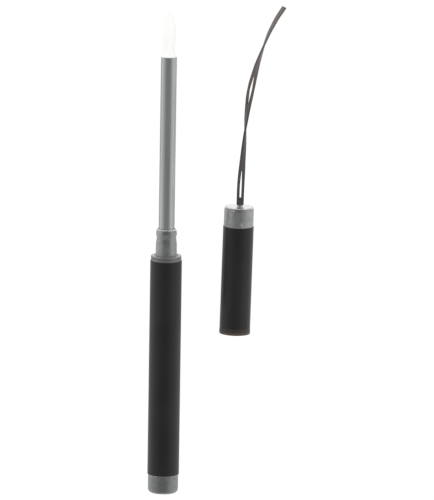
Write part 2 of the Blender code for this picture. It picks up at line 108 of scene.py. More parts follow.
class Station(NamedTuple):
    """Point of a finished outline: radius, place along the axis and wear."""

    radius: float
    along: float
    wear: float = 0.0


class Span(NamedTuple):
    """Where a turned node starts and ends along its axis, and its outer radius."""

    back: float
    front: float
    radius: float


class Scuff(NamedTuple):
    """Short bright mark on metal: its middle, the turn of its length from +Y, half sizes and strength."""

    middle: Triple
    turn: float
    half_sizes: Triple
    strength: float


class Nodes:
    """Short ways to add and join the nodes of a tree."""

    def __init__(self, tree: bpy.types.NodeTree) -> None:
        """Keep the tree."""
        self.tree = tree

    def add(self, kind: str, feeds: dict[str | int, Any] | None = None, **settings: Any) -> bpy.types.Node:
        """Add a node and feed its inputs.

        Args:
            kind: Its type name.
            feeds: For each input, by name or number, a socket to link or a value to set.
            settings: Values of its own properties.

        Returns:
            The new node.
        """
        node = self.tree.nodes.new(kind)
        for key, value in settings.items():
            setattr(node, key, value)
        for key, value in (feeds or {}).items():
            if isinstance(value, Socket):
                self.tree.links.new(value, node.inputs[key])
            else:
                node.inputs[key].default_value = value
        return node

    def maths(self, operation: str, *terms: Any) -> Socket:
        """Maths on sockets or values."""
        return self.add("ShaderNodeMath", dict(enumerate(terms)), operation=operation).outputs["Value"]

    def vector(self, operation: str, *terms: Any) -> Socket:
        """Vector maths on sockets or values.

        Args:
            operation: What is done.
            terms: What it is done to; the second term of SCALE is its factor.

        Returns:
            The vector, or the value of LENGTH.
        """
        keys = (0, "Scale") if operation == "SCALE" else range(len(terms))
        node = self.add("ShaderNodeVectorMath", dict(zip(keys, terms)), operation=operation)
        return node.outputs["Value" if operation == "LENGTH" else "Vector"]

    def parts(self, vector: Socket) -> bpy.types.NodeOutputs:
        """Sockets X, Y and Z of a vector."""
        return self.add("ShaderNodeSeparateXYZ", {"Vector": vector}).outputs

    def spread(self, value: Socket, span: Pair, ends: Pair = (0.0, 1.0), smooth: bool = False) -> Socket:
        """Value mapped from one range to another and held past its ends.

        Args:
            value: What is mapped.
            span: Where the range starts and ends.
            ends: Results there.
            smooth: Whether it eases in and out.

        Returns:
            The mapped socket.
        """
        limits = dict(zip(("From Min", "From Max", "To Min", "To Max"), (*span, *ends)))
        kind = "SMOOTHSTEP" if smooth else "LINEAR"
        node = self.add("ShaderNodeMapRange", {"Value": value, **limits}, interpolation_type=kind)
        return node.outputs["Result"]


class Board(Nodes):
    """Node tree of one finish."""

    MIX_INPUTS = (0, 6, 7)  # share and two colours of a Mix node, whose other inputs have the same names
    MIX_RESULT = 2
    SCUFF_FADE = (0.4, 1.0)  # shares of a scuff's half sizes over which it fades out

    def __init__(self, name: str) -> None:
        """Start a material.

        Args:
            name: The finish's name.
        """
        self.material = bpy.data.materials.new(name)
        self.material.use_nodes = True
        super().__init__(self.material.node_tree)
        self.shader = self.tree.nodes["Principled BSDF"].inputs
        self.place = self.add("ShaderNodeTexCoord").outputs["Object"]

    def fix(self, **values: Any) -> None:
        """Set shader sockets that are the same all over.

        Args:
            values: Their values, named with _ for each space.
        """
        for key, value in values.items():
            socket = self.shader[key.replace("_", " ")]
            socket.default_value = (*value, 1.0) if socket.type == "RGBA" else value

    def attribute(self, name: str, output: str = "Fac") -> Socket:
        """Output of a mesh attribute."""
        return self.add("ShaderNodeAttribute", attribute_name=name).outputs[output]

    def stretched(self, across: float, along: float) -> Socket:
        """Object coordinates, scaled across and along the pen."""
        mapping = self.add("ShaderNodeMapping", {"Vector": self.place, "Scale": (across, along, across)})
        return mapping.outputs["Vector"]

    def noise(self, scale: float, octaves: float = 3.0, vector: Socket | None = None) -> Socket:
        """Noise value.

        Args:
            scale: Cells in a metre, or in a unit of the vector.
            octaves: How many sizes of cells it sums.
            vector: Coordinates; the object's own where left out.

        Returns:
            The value socket.
        """
        feeds = {"Vector": vector or self.place, "Scale": scale, "Detail": octaves}
        return self.add("ShaderNodeTexNoise", feeds).outputs["Fac"]

    def blend(self, share: Socket, first: Triple | Socket, second: Triple) -> Socket:
        """Colour between two.

        Args:
            share: 0 for the first, 1 for the second.
            first: A colour, or a socket that gives one.
            second: A colour.

        Returns:
            The colour socket.
        """
        start = first if isinstance(first, Socket) else (*first, 1.0)
        feeds = dict(zip(self.MIX_INPUTS, (share, start, (*second, 1.0))))
        return self.add("ShaderNodeMix", feeds, data_type="RGBA").outputs[self.MIX_RESULT]

    def mark(self, scuff: Scuff) -> Socket:
        """Strength of a scuff, full at its middle and nothing past its ends.

        Args:
            scuff: The scuff.

        Returns:
            The value socket.
        """
        place = {"Location": scuff.middle, "Rotation": (0.0, 0.0, scuff.turn), "Scale": scuff.half_sizes}
        mapping = self.add("ShaderNodeMapping", {"Vector": self.place, **place}, vector_type="TEXTURE")
        off = self.vector("LENGTH", mapping.outputs["Vector"])
        return self.spread(off, self.SCUFF_FADE, (scuff.strength, 0.0))

    def dress(self, colour: Socket, roughness: Socket, height: Socket, depth: float) -> bpy.types.Material:
        """Feed the shader.

        Args:
            colour: Base colour.
            roughness: Roughness.
            height: Relief, from 0 to 1.
            depth: How deep that is, in metres.

        Returns:
            The finished material.
        """
        relief = self.add("ShaderNodeBump", {"Height": height, "Distance": depth}).outputs["Normal"]
        for name, socket in (("Base Color", colour), ("Roughness", roughness), ("Normal", relief)):
            self.tree.links.new(socket, self.shader[name])
        return self.material


def shade(colour: Triple, tone: float) -> Triple:
    """Colour made darker or lighter."""
    return tuple(tone * part for part in colour)


@dataclass(frozen=True)
class Finish:
    """Surface of one kind of piece.

    Attributes:
        slot: Name of the record's material slot; here it only starts the material's name.
        base: Main colour.
        second: Colour of its patches, flecks or worn places.
        rough: Roughness where it is smoothest and where it is dullest.
        grain: Cells of its finest texture in a metre.
        depth: Depth of that texture.
        variant: Name of a copy of the finish with its own settings, such as its tone.
        specular: Strength of its surface reflection.
    """

    slot: str
    base: Triple
    second: Triple
    rough: Pair
    grain: float
    depth: float
    batch: str = "surface"
    specular: float = 0.5

    PATCH = 6  # cells of the grain in a patch of colour
    CLOUD = 3  # cells of the grain in a patch of roughness
    PATCHES = (0.35, 0.7)  # noise values over which the patches come in

    @property
    def name(self) -> str:
        """Name of the material."""
        return f"{self.slot}_{self.batch}"

    def board(self) -> Board:
        """New board for this finish.

        Returns:
            The board, with its reflection set.
        """
        board = Board(self.name)
        board.fix(Specular_IOR_Level=self.specular)
        return board

    def material(self) -> bpy.types.Material:
        """The finish's material, made on first use."""
        return bpy.data.materials.get(self.name) or self.paint()

    def paint(self) -> bpy.types.Material:
        """Make the material: mottled colour, uneven roughness and a fine grain.

        Returns:
            The material.
        """
        board = self.board()
        patches = board.spread(board.noise(self.grain / self.PATCH, octaves=4.0), self.PATCHES)
        return board.dress(
            colour=board.blend(patches, self.base, self.second),
            roughness=board.spread(board.noise(self.grain / self.CLOUD), NOISE, self.rough),
            height=board.noise(self.grain, octaves=4.0),
            depth=self.depth,
        )


@dataclass(frozen=True)
class Lacquer(Finish):
    """Satin lacquer on a tube, rubbed thin at the edges; on the cap's rolled rim the paler, warmer edge
    colour is a painted reflection.
    """

    specular: float = 0.4

    WIPE_LENGTH = 30  # length of a wipe mark against its width
    WIPES = 0.5  # wipe marks across a cell of the grain
    RUBBED = (0.75, 1.0)  # share of the wear that shows where it is patchy
    CLOUDS = 90.0  # paler clouds in a metre
    CLOUD_VALUES = (0.4, 0.7)  # noise values over which they come in
    CLOUD_TONE = 1.35  # their tone against the base colour

    def paint(self) -> bpy.types.Material:
        """Make the material: faint wipe marks along the tube, a soft peel and paler worn edges, which on the
        cap's rim are a painted warm reflection.

        Returns:
            The material.
        """
        board = self.board()
        along = board.stretched(self.grain, self.grain / self.WIPE_LENGTH)
        wipes = board.noise(self.WIPES, octaves=5.0, vector=along)
        clouds = board.spread(board.noise(self.CLOUDS, octaves=2.0), self.CLOUD_VALUES)
        cloudy = board.blend(clouds, self.base, shade(self.base, self.CLOUD_TONE))
        patchy = board.spread(board.noise(self.grain, octaves=6.0), NOISE, self.RUBBED)
        # Paler where wear is high: worn edges, and on the cap's rolled rim a painted warm reflection
        rubbed = board.maths("MULTIPLY", board.attribute(WEAR_AND_PAINTED_LIGHT), patchy)
        return board.dress(
            colour=board.blend(rubbed, cloudy, self.second),
            roughness=board.spread(wipes, NOISE, self.rough),
            height=board.noise(self.grain, octaves=2.0),
            depth=self.depth,
        )


@dataclass(frozen=True)
class SatinMetal(Finish):
    """Plated metal with a fine blasted grain and brighter edges.

    Attributes:
        metallic: Share of metal in its reflection.
        polish: How much smoother it is where it is rubbed or turned bright.
        dull_and_shade_tone: Its tone where wear is below 0; at the neck's root this darker tone is painted
            shade.
        dull_rough: How much rougher it is there.
        scuffs: Marks that use has left on it.
    """

    metallic: float = 0.9
    polish: float = 0.06
    dull_and_shade_tone: float = 0.62
    dull_rough: float = 0.25
    scuffs: tuple[Scuff, ...] = ()

    MOTTLE = 5  # cells of the grain in a darker patch
    MOTTLE_VALUES = (0.3, 0.72)  # noise values over which the patches come in
    MOTTLE_TONE = 0.74  # their tone against the base colour
    RUB = 3  # cells of the grain in a rubbed patch
    RUB_VALUES = (0.3, 0.9)  # wear times noise over which the metal turns bright
    # Below 0 the wear also darkens the metal: painted shade at the neck's root, a darker band on the flange
    DULL_AND_SHADE_VALUES = (0.0, -1.0)  # wear over which it turns dull
    SATIN = 4  # cells of the grain in a patch of roughness

    def paint(self) -> bpy.types.Material:
        """Make the material: mottling, grain, duller and darker places with painted shade at the neck's
        root, polished edges and scuffs.

        Returns:
            The material.
        """
        board = self.board()
        board.fix(Metallic=self.metallic)
        mottle = board.spread(board.noise(self.grain / self.MOTTLE, octaves=5.0), self.MOTTLE_VALUES)
        toned = board.blend(mottle, self.base, shade(self.base, self.MOTTLE_TONE))
        wear = board.attribute(WEAR_AND_PAINTED_LIGHT)
        # Duller and darker where wear is below 0: painted shade at the neck's root
        dulled_and_shaded = board.spread(wear, self.DULL_AND_SHADE_VALUES)
        plain = board.blend(dulled_and_shaded, toned, shade(self.base, self.dull_and_shade_tone))
        rubbed = board.maths("MULTIPLY", wear, board.noise(self.grain / self.RUB, octaves=4.0))
        polish = board.spread(rubbed, self.RUB_VALUES)
        for scuff in self.scuffs:
            polish = board.maths("MAXIMUM", polish, board.mark(scuff))
        satin = board.spread(board.noise(self.grain / self.SATIN), NOISE, self.rough)
        rougher = board.maths("MULTIPLY_ADD", dulled_and_shaded, self.dull_rough, satin)
        return board.dress(
            colour=board.blend(polish, plain, self.second),
            roughness=board.maths("MULTIPLY_ADD", polish, -self.polish, rougher),
            height=board.noise(self.grain, octaves=5.0),
            depth=self.depth,
        )


@dataclass(frozen=True)
class DrawnMetal(Finish):
    """Drawn tube with hair lines along it.

    Attributes:
        edge: Tint of its reflection at grazing angles.
    """

    edge: Triple = (0.5, 0.53, 0.51)

    LINE_LENGTH = 80  # length of a hair line against its width
    LINE_TONE = 0.86  # its tone against the base colour

    def paint(self) -> bpy.types.Material:
        """Make the material: long fine lines in colour, roughness and relief, and a bright end.

        Returns:
            The material.
        """
        board = self.board()
        board.fix(Metallic=1.0, Specular_Tint=self.edge)
        along = board.stretched(self.grain, self.grain / self.LINE_LENGTH)
        lines = board.noise(1.0, octaves=6.0, vector=along)
        toned = board.blend(board.spread(lines, NOISE), self.base, shade(self.base, self.LINE_TONE))
        return board.dress(
            colour=board.blend(board.attribute(WEAR_AND_PAINTED_LIGHT), toned, self.second),
            roughness=board.spread(lines, NOISE, self.rough),
            height=lines,
            depth=self.depth,
        )


@dataclass(frozen=True)
class Leather(Finish):
    """Flat lace: soft grain on its faces, dark dyed edges, and darker near the boot than towards its free
    end.

    Attributes:
        half_width: Half the lace's width.
        dark: Its colour near the boot.
        tone_span: Where the change from the dark colour to the base colour starts and ends along it.
        edge_dye: Share of the dark tone on its edges, at the start and at the end of that span.
        sheen: Strength and roughness of the nap's sheen.
    """

    half_width: float = 1.0 * MM
    dark: Triple = (0.056, 0.05, 0.048)
    tone_span: Pair = (15 * MM, 50 * MM)
    edge_dye: Pair = (0.45, 0.0)
    sheen: Pair = (0.12, 0.5)

    CREASES = 0.8  # cells between creases to a cell of the grain
    CREASE_WIDTH = 0.12  # width of a crease in such a cell
    EDGE_FROM = 0.62  # share of the half width where the edge's dye starts
    FLECKS = (0.0, 0.4)  # share of the second colour in the grain

    def paint(self) -> bpy.types.Material:
        """Make the material from the lace's own map, so that the grain follows its twist.

        Returns:
            The material.
        """
        board = self.board()
        board.fix(Sheen_Weight=self.sheen[0], Sheen_Roughness=self.sheen[1])
        flat = board.attribute(LACE_MAP, "Vector")
        grain = board.noise(self.grain, octaves=5.0, vector=flat)
        feeds = {"Vector": flat, "Scale": self.grain * self.CREASES}
        cells = board.add("ShaderNodeTexVoronoi", feeds, feature="DISTANCE_TO_EDGE")
        creases = board.spread(cells.outputs["Distance"], (0.0, self.CREASE_WIDTH))
        parts = board.parts(flat)
        near_boot = board.spread(parts["Y"], self.tone_span, (1.0, 0.0))
        toned_along = board.blend(near_boot, self.base, self.dark)
        toned = board.blend(board.spread(grain, NOISE, self.FLECKS), toned_along, self.second)
        rim = (self.EDGE_FROM * self.half_width, self.half_width)
        edge = board.spread(board.maths("ABSOLUTE", parts["X"]), rim)
        dye = board.spread(parts["Y"], self.tone_span, self.edge_dye)
        return board.dress(
            colour=board.blend(board.maths("MULTIPLY", edge, dye), toned, self.second),
            roughness=board.spread(grain, NOISE, self.rough),
            height=board.maths("ADD", grain, creases),
            depth=self.depth,
        )


BLACK_LACQUER = Lacquer(
    "black_lacquer", (0.0085, 0.0085, 0.009), (0.05, 0.049, 0.047), (0.36, 0.48), 1500.0, 0.006 * MM
)
# The cap's copy has a warm brown second colour, a painted warm reflection on its rolled rim
CAP_LACQUER = replace(BLACK_LACQUER, second=(0.08, 0.057, 0.046), batch="cap")
# Matt black without shine for the cap's hollow: painted shade, also on the cap end's metal
CAP_HOLLOW_SHADE = replace(BLACK_LACQUER, specular=0.0, batch="inside")
SATIN_SILVER = SatinMetal(
    "satin_silver", (0.365, 0.37, 0.37), (0.95, 0.955, 0.95), (0.26, 0.36), 5200.0, 0.012 * MM
)
# The tail's copy is darker and the cap end's copy lighter, each set to its own tone
TAIL_SILVER = replace(SATIN_SILVER, base=(0.275, 0.28, 0.28), batch="tail")
# The post's copy is lighter: painted light that offsets the shade at the post's foot
POST_SILVER = replace(SATIN_SILVER, base=(0.5, 0.5, 0.51), batch="post")
CAP_SCUFFS = (
    Scuff((11.22 * MM, 9.15 * MM, 8.5 * MM), math.radians(20.0), (0.4 * MM, 0.95 * MM, 1.5 * MM), 0.4),
    Scuff((8.82 * MM, 13.14 * MM, 8.3 * MM), math.radians(60.0), (0.26 * MM, 0.42 * MM, 1.5 * MM), 0.7),
)
CAP_SILVER = replace(
    SATIN_SILVER,
    base=(0.4, 0.405, 0.405),
    second=(0.98, 0.985, 0.98),
    rough=(0.32, 0.42),
    scuffs=CAP_SCUFFS,
    batch="cap",
)
DRAWN_TUBE = DrawnMetal(
    "drawn_tube", (0.49, 0.515, 0.5), (0.75, 0.77, 0.75), (0.16, 0.28), 3600.0, 0.004 * MM
)
WHITE_NIB = Finish("white_nib", (0.96, 0.96, 0.945), (0.93, 0.93, 0.905), (0.3, 0.42), 2400.0, 0.003 * MM)
PALE_MOULDING = Finish(
    "pale_moulding", (0.73, 0.72, 0.66), (0.68, 0.66, 0.59), (0.4, 0.55), 1800.0, 0.006 * MM
)
DARK_LINER = Finish(
    "dark_liner", (0.042, 0.042, 0.045), (0.032, 0.032, 0.034), (0.5, 0.66), 3000.0, 0.012 * MM, specular=0.0
)
BLACK_RUBBER = Finish(
    "black_rubber", (0.013, 0.013, 0.013), (0.024, 0.023, 0.022), (0.7, 0.85), 2600.0, 0.014 * MM
)
DARK_BOOT = Finish("dark_boot", (0.056, 0.044, 0.043), (0.038, 0.03, 0.03), (0.45, 0.62), 4200.0, 0.02 * MM)
DARK_STRAP = Leather(
    "dark_strap", (0.155, 0.135, 0.125), (0.03, 0.024, 0.022), (0.5, 0.68), 4200.0, 0.015 * MM
)


def add_object(name: str, data: bpy.types.ID) -> bpy.types.Object:
    """Put a new object into the scene.

    Args:
        name: Its name.
        data: Its mesh, curve, lamp or camera.

    Returns:
        The object.
    """
    thing = bpy.data.objects.new(name, data)
    bpy.context.scene.collection.objects.link(thing)
    return thing


def keep_mesh(name: str, work: bmesh.types.BMesh) -> bpy.types.Mesh:
    """Turn a mesh that is worked on into a kept one.

    Args:
        name: Its name.
        work: The working mesh, which is freed.

    Returns:
        The kept mesh.
    """
    mesh = bpy.data.meshes.new(name)
    work.to_mesh(mesh)
    work.free()
    return mesh


def settle(name: str, source: bpy.types.Object, *tools: bpy.types.Object) -> bpy.types.Mesh:
    """Turn an object with modifiers into a plain mesh and remove it.

    Args:
        name: Name of the mesh.
        source: The object.
        tools: Objects that its modifiers use, which are removed too.

    Returns:
        The plain mesh.
    """
    mesh = bpy.data.meshes.new_from_object(source.evaluated_get(bpy.context.evaluated_depsgraph_get()))
    for used in (source, *tools):
        bpy.data.objects.remove(used)
    mesh.name = name
    return mesh


def tidy_mesh(mesh: bpy.types.Mesh) -> None:
    """Close seams and poles, point faces outwards and keep real edges sharp.

    Args:
        mesh: Mesh that is changed.
    """
    work = bmesh.new()
    work.from_mesh(mesh)
    bmesh.ops.remove_doubles(work, verts=work.verts, dist=SAME_POINT)
    bmesh.ops.dissolve_degenerate(work, edges=work.edges, dist=SLIVER)
    bmesh.ops.recalc_face_normals(work, faces=work.faces)
    work.to_mesh(mesh)
    work.free()
    mesh.shade_smooth()
    mesh.set_sharp_from_angle(angle=SHARP)


def hand_over(piece: bpy.types.Object, body: Body, node: str, mirrored: bool = True) -> None:
    """Let a piece stand for a node and move with its body.

    Args:
        piece: Finished piece.
        body: The body that it rides on.
        node: The node that it replaces.
        mirrored: Whether it shows in the shine of the pieces beside it.
    """
    piece.visible_glossy = mirrored
    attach(piece, body.value)
    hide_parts(node)
    LOG.info("%s stands for %s on %s: %d faces", piece.name, node, body.value, len(piece.data.polygons))


class Outline:
    """Half section of a turned piece, with round corners and a few extra points that keep flats flat."""

    SUPPORT = 0.06 * MM  # from a corner to the point that holds the flat beside it
    SUPPORTED = 3 * SUPPORT  # flats longer than this have such points
    CHORD = 0.06 * MM  # length of a facet on a rounding
    STEPS = (3, 12)  # fewest and most facets of a rounding
    ROUNDED = 0.45  # most of a side that a rounding may take

    def __init__(self, corners: list[Corner]) -> None:
        """Keep the corners.

        Args:
            corners: In order, down the outer side. The last joins the first, unless both lie on the axis.
        """
        self.corners = corners
        self.closed = corners[0].radius > 0

    def arc(self, i: int) -> list[Station]:
        """Points of one corner.

        Args:
            i: Its number.

        Returns:
            The corner itself, or the arc that rounds it.
        """
        corner = self.corners[i]
        here = Vector(corner[:2])
        is_end = not self.closed and i in (0, len(self.corners) - 1)
        if is_end or not corner.rounding:
            return [Station(corner.radius, corner.along)]
        before = Vector(self.corners[i - 1][:2]) - here
        after = Vector(self.corners[(i + 1) % len(self.corners)][:2]) - here
        half = before.angle(after) / 2
        longest = self.ROUNDED * min(before.length, after.length)
        reach = min(corner.rounding / math.tan(half), longest)
        before.normalize()
        after.normalize()
        centre = here + (before + after).normalized() * reach / math.cos(half)
        start, end = here + reach * before - centre, here + reach * after - centre
        radius = start.length
        fewest, most = self.STEPS
        steps = min(max(math.ceil(radius * (math.pi - 2 * half) / self.CHORD), fewest), most)
        points = []
        for step in range(steps + 1):
            point = centre + start.slerp(end, step / steps).normalized() * radius
            points.append(Station(*point, corner.wear * math.sin(math.pi * (step + 1) / (steps + 2))))
        return points

    def stations(self) -> list[Station]:
        """All points of the outline.

        Returns:
            The points, in order.
        """
        arcs = [self.arc(i) for i in range(len(self.corners))]
        points: list[Station] = []
        for i, (corner, arc) in enumerate(zip(self.corners, arcs)):
            points += arc
            if i + 1 == len(arcs) and not self.closed:
                break
            start, end = Vector(arc[-1][:2]), Vector(arcs[(i + 1) % len(arcs)][0][:2])
            length = (end - start).length
            if length > self.SUPPORTED:
                for place in (self.SUPPORT, length - self.SUPPORT):
                    points.append(Station(*start.lerp(end, place / length), corner.flat_wear))
        return points


class Tree(Nodes):
    """Geometry node tree built in the script, with named inputs."""

    def __init__(self, name: str, **inputs: str) -> None:
        """Start a tree that takes a geometry and a finish and gives a geometry.

        Args:
            name: The tree's name.
            inputs: Kinds of its other inputs, named with _ for each space.
        """
        super().__init__(bpy.data.node_groups.new(name, "GeometryNodeTree"))
        self.sockets: dict[str, str] = {}
        sides = self.tree.interface
        for key, kind in {"Geometry": "Geometry", **inputs, "Finish": "Material"}.items():
            socket = sides.new_socket(key.replace("_", " "), in_out="INPUT", socket_type="NodeSocket" + kind)
            self.sockets[key] = socket.identifier
        sides.new_socket("Geometry", in_out="OUTPUT", socket_type="NodeSocketGeometry")
        self.entry = self.add("NodeGroupInput").outputs

    def end(self, geometry: Socket) -> None:
        """Finish the tree: smooth, real geometry in the material of the input Finish.

        Args:
            geometry: What the tree has laid out.
        """
        smooth = self.add("GeometryNodeSetShadeSmooth", {"Geometry": geometry})
        real = self.add("GeometryNodeRealizeInstances", {"Geometry": smooth.outputs["Geometry"]})
        feeds = {"Geometry": real.outputs["Geometry"], "Material": self.entry["Finish"]}
        dressed = self.add("GeometryNodeSetMaterial", feeds)
        self.add("NodeGroupOutput", {"Geometry": dressed.outputs["Geometry"]})

    def run(self, name: str, start: bpy.types.Mesh, **values: Any) -> bpy.types.Object:
        """Run the tree on a mesh and keep the result as a plain, closed mesh.

        Args:
            name: Name of the new piece.
            start: Mesh that the tree starts from.
            values: Its inputs, named with _ for each space.

        Returns:
            The piece, at the origin.
        """
        source = add_object(name + "_source", start)
        modifier = source.modifiers.new("layout", "NODES")
        modifier.node_group = self.tree
        for key, value in values.items():
            modifier[self.sockets[key]] = value
        mesh = settle(name, source)
        tidy_mesh(mesh)
        return add_object(name, mesh)


@dataclass
class Axis:
    """Axis that turned pieces share.

    Attributes:
        origin: Point on it that places are counted from.
        ahead: Its direction, level.
        nodes: The frame's nodes.
    """

    origin: Vector
    ahead: Vector
    nodes: dict[str, bpy.types.Object]

    @classmethod
    def through(cls, node: str, ahead: Vector, nodes: dict[str, bpy.types.Object]) -> "Axis":
        """Axis through the middle of a node.

        Args:
            node: Its name.
            ahead: Direction of the axis.
            nodes: The frame's nodes.

        Returns:
            The axis.
        """
        low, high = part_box(node)
        return cls((low + high) / 2, ahead, nodes)

    @property
    def lean(self) -> float:
        """Turn of the axis from +Y about +Z."""
        return math.atan2(-self.ahead.x, self.ahead.y)

    def span(self, node: str) -> Span:
        """Where a node of the frame lies along this axis.

        Args:
            node: Its name.

        Returns:
            Its back, front and outer radius.
        """
        low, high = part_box(node)
        places = [(point.co - self.origin).dot(self.ahead) for point in self.nodes[node].data.vertices]
        return Span(min(places), max(places), (high.z - low.z) / 2)

    def point(self, aside: float, along: float, height: float) -> Vector:
        """Point to the right of the axis.

        Args:
            aside: How far to the right.
            along: Place along the axis.
            height: Height above the floor.

        Returns:
            The point.
        """
        right = self.ahead.cross(Vector((0, 0, 1))).normalized()
        level = self.origin + right * aside + self.ahead * along
        return Vector((level.x, level.y, height))


class Lathe:
    """Turns outlines about an axis with one node tree."""

    RIM = 1.0  # radius of the ring that outlines are carried round
    SEGMENTS = 128  # facets round a piece
    MERGE = 0.001 * MM  # points of the shell closer than this are one

    def __init__(self) -> None:
        """Build the tree."""
        tree = Tree(
            "turn_outline_about_axis",
            Segments="Int",
            Axis_Origin="Vector",
            Axis_Turn="Vector",
            Merge_Distance="Float",
        )
        entry = tree.entry
        section = tree.add("GeometryNodeMeshToCurve", {"Mesh": entry["Geometry"]})
        feeds = {"Resolution": entry["Segments"], "Radius": self.RIM}
        ring = tree.add("GeometryNodeCurvePrimitiveCircle", feeds)
        feeds = {"Curve": ring.outputs["Curve"], "Profile Curve": section.outputs["Curve"]}
        shell = tree.add("GeometryNodeCurveToMesh", feeds)
        feeds = {"Geometry": shell.outputs["Mesh"], "Distance": entry["Merge Distance"]}
        whole = tree.add("GeometryNodeMergeByDistance", feeds)
        feeds = {"Translation": entry["Axis Origin"], "Rotation": entry["Axis Turn"]}
        placed = tree.add("GeometryNodeTransform", {"Geometry": whole.outputs["Geometry"], **feeds})
        tree.end(placed.outputs["Geometry"])
        self.tree = tree

    def turn(self, name: str, outline: Outline, axis: Axis, finish: Finish) -> bpy.types.Object:
        """Make a turned piece.

        Args:
            name: Its name.
            outline: Its half section.
            axis: The axis that it goes round.
            finish: Its surface.

        Returns:
            The piece.
        """
        stations = outline.stations()
        count = len(stations)
        edges = [(i, (i + 1) % count) for i in range(count if outline.closed else count - 1)]
        section = bpy.data.meshes.new(name + "_section")
        section.from_pydata([(s.radius - self.RIM, -s.along, 0.0) for s in stations], edges, [])
        wear = section.attributes.new(WEAR_AND_PAINTED_LIGHT, "FLOAT", "POINT")
        wear.data.foreach_set("value", [s.wear for s in stations])
        return self.tree.run(
            name,
            section,
            Segments=self.SEGMENTS,
            Axis_Origin=axis.origin,
            Axis_Turn=(-math.pi / 2, 0.0, axis.lean),
            Merge_Distance=self.MERGE,
            Finish=finish.material(),
        )


@dataclass
class Turned:
    """Sub-assembly of turned pieces that ride on one body.

    Attributes:
        lathe: What turns them.
        axis: The axis that they share.
    """

    lathe: Lathe
    axis: Axis

    BODY: ClassVar[Body]

    def span(self, node: str) -> Span:
        """Where a node lies on the axis."""
        return self.axis.span(node)

    def make(
        self,
        name: str,
        node: str,
        finish: Finish,
        corners: list[Corner],
        axis: Axis | None = None,
        mirrored: bool = True,
    ) -> bpy.types.Object:
        """Turn a piece and let it stand for a node.

        Args:
            name: Its name.
            node: The node that it replaces.
            finish: Its surface.
            corners: Corners of its half section.
            axis: The axis that it goes round; the shared one where left out.
            mirrored: Whether it shows in the shine of the pieces beside it.

        Returns:
            The piece.
        """
        piece = self.lathe.turn(name, Outline(corners), axis or self.axis, finish)
        hand_over(piece, self.BODY, node, mirrored)
        return piece


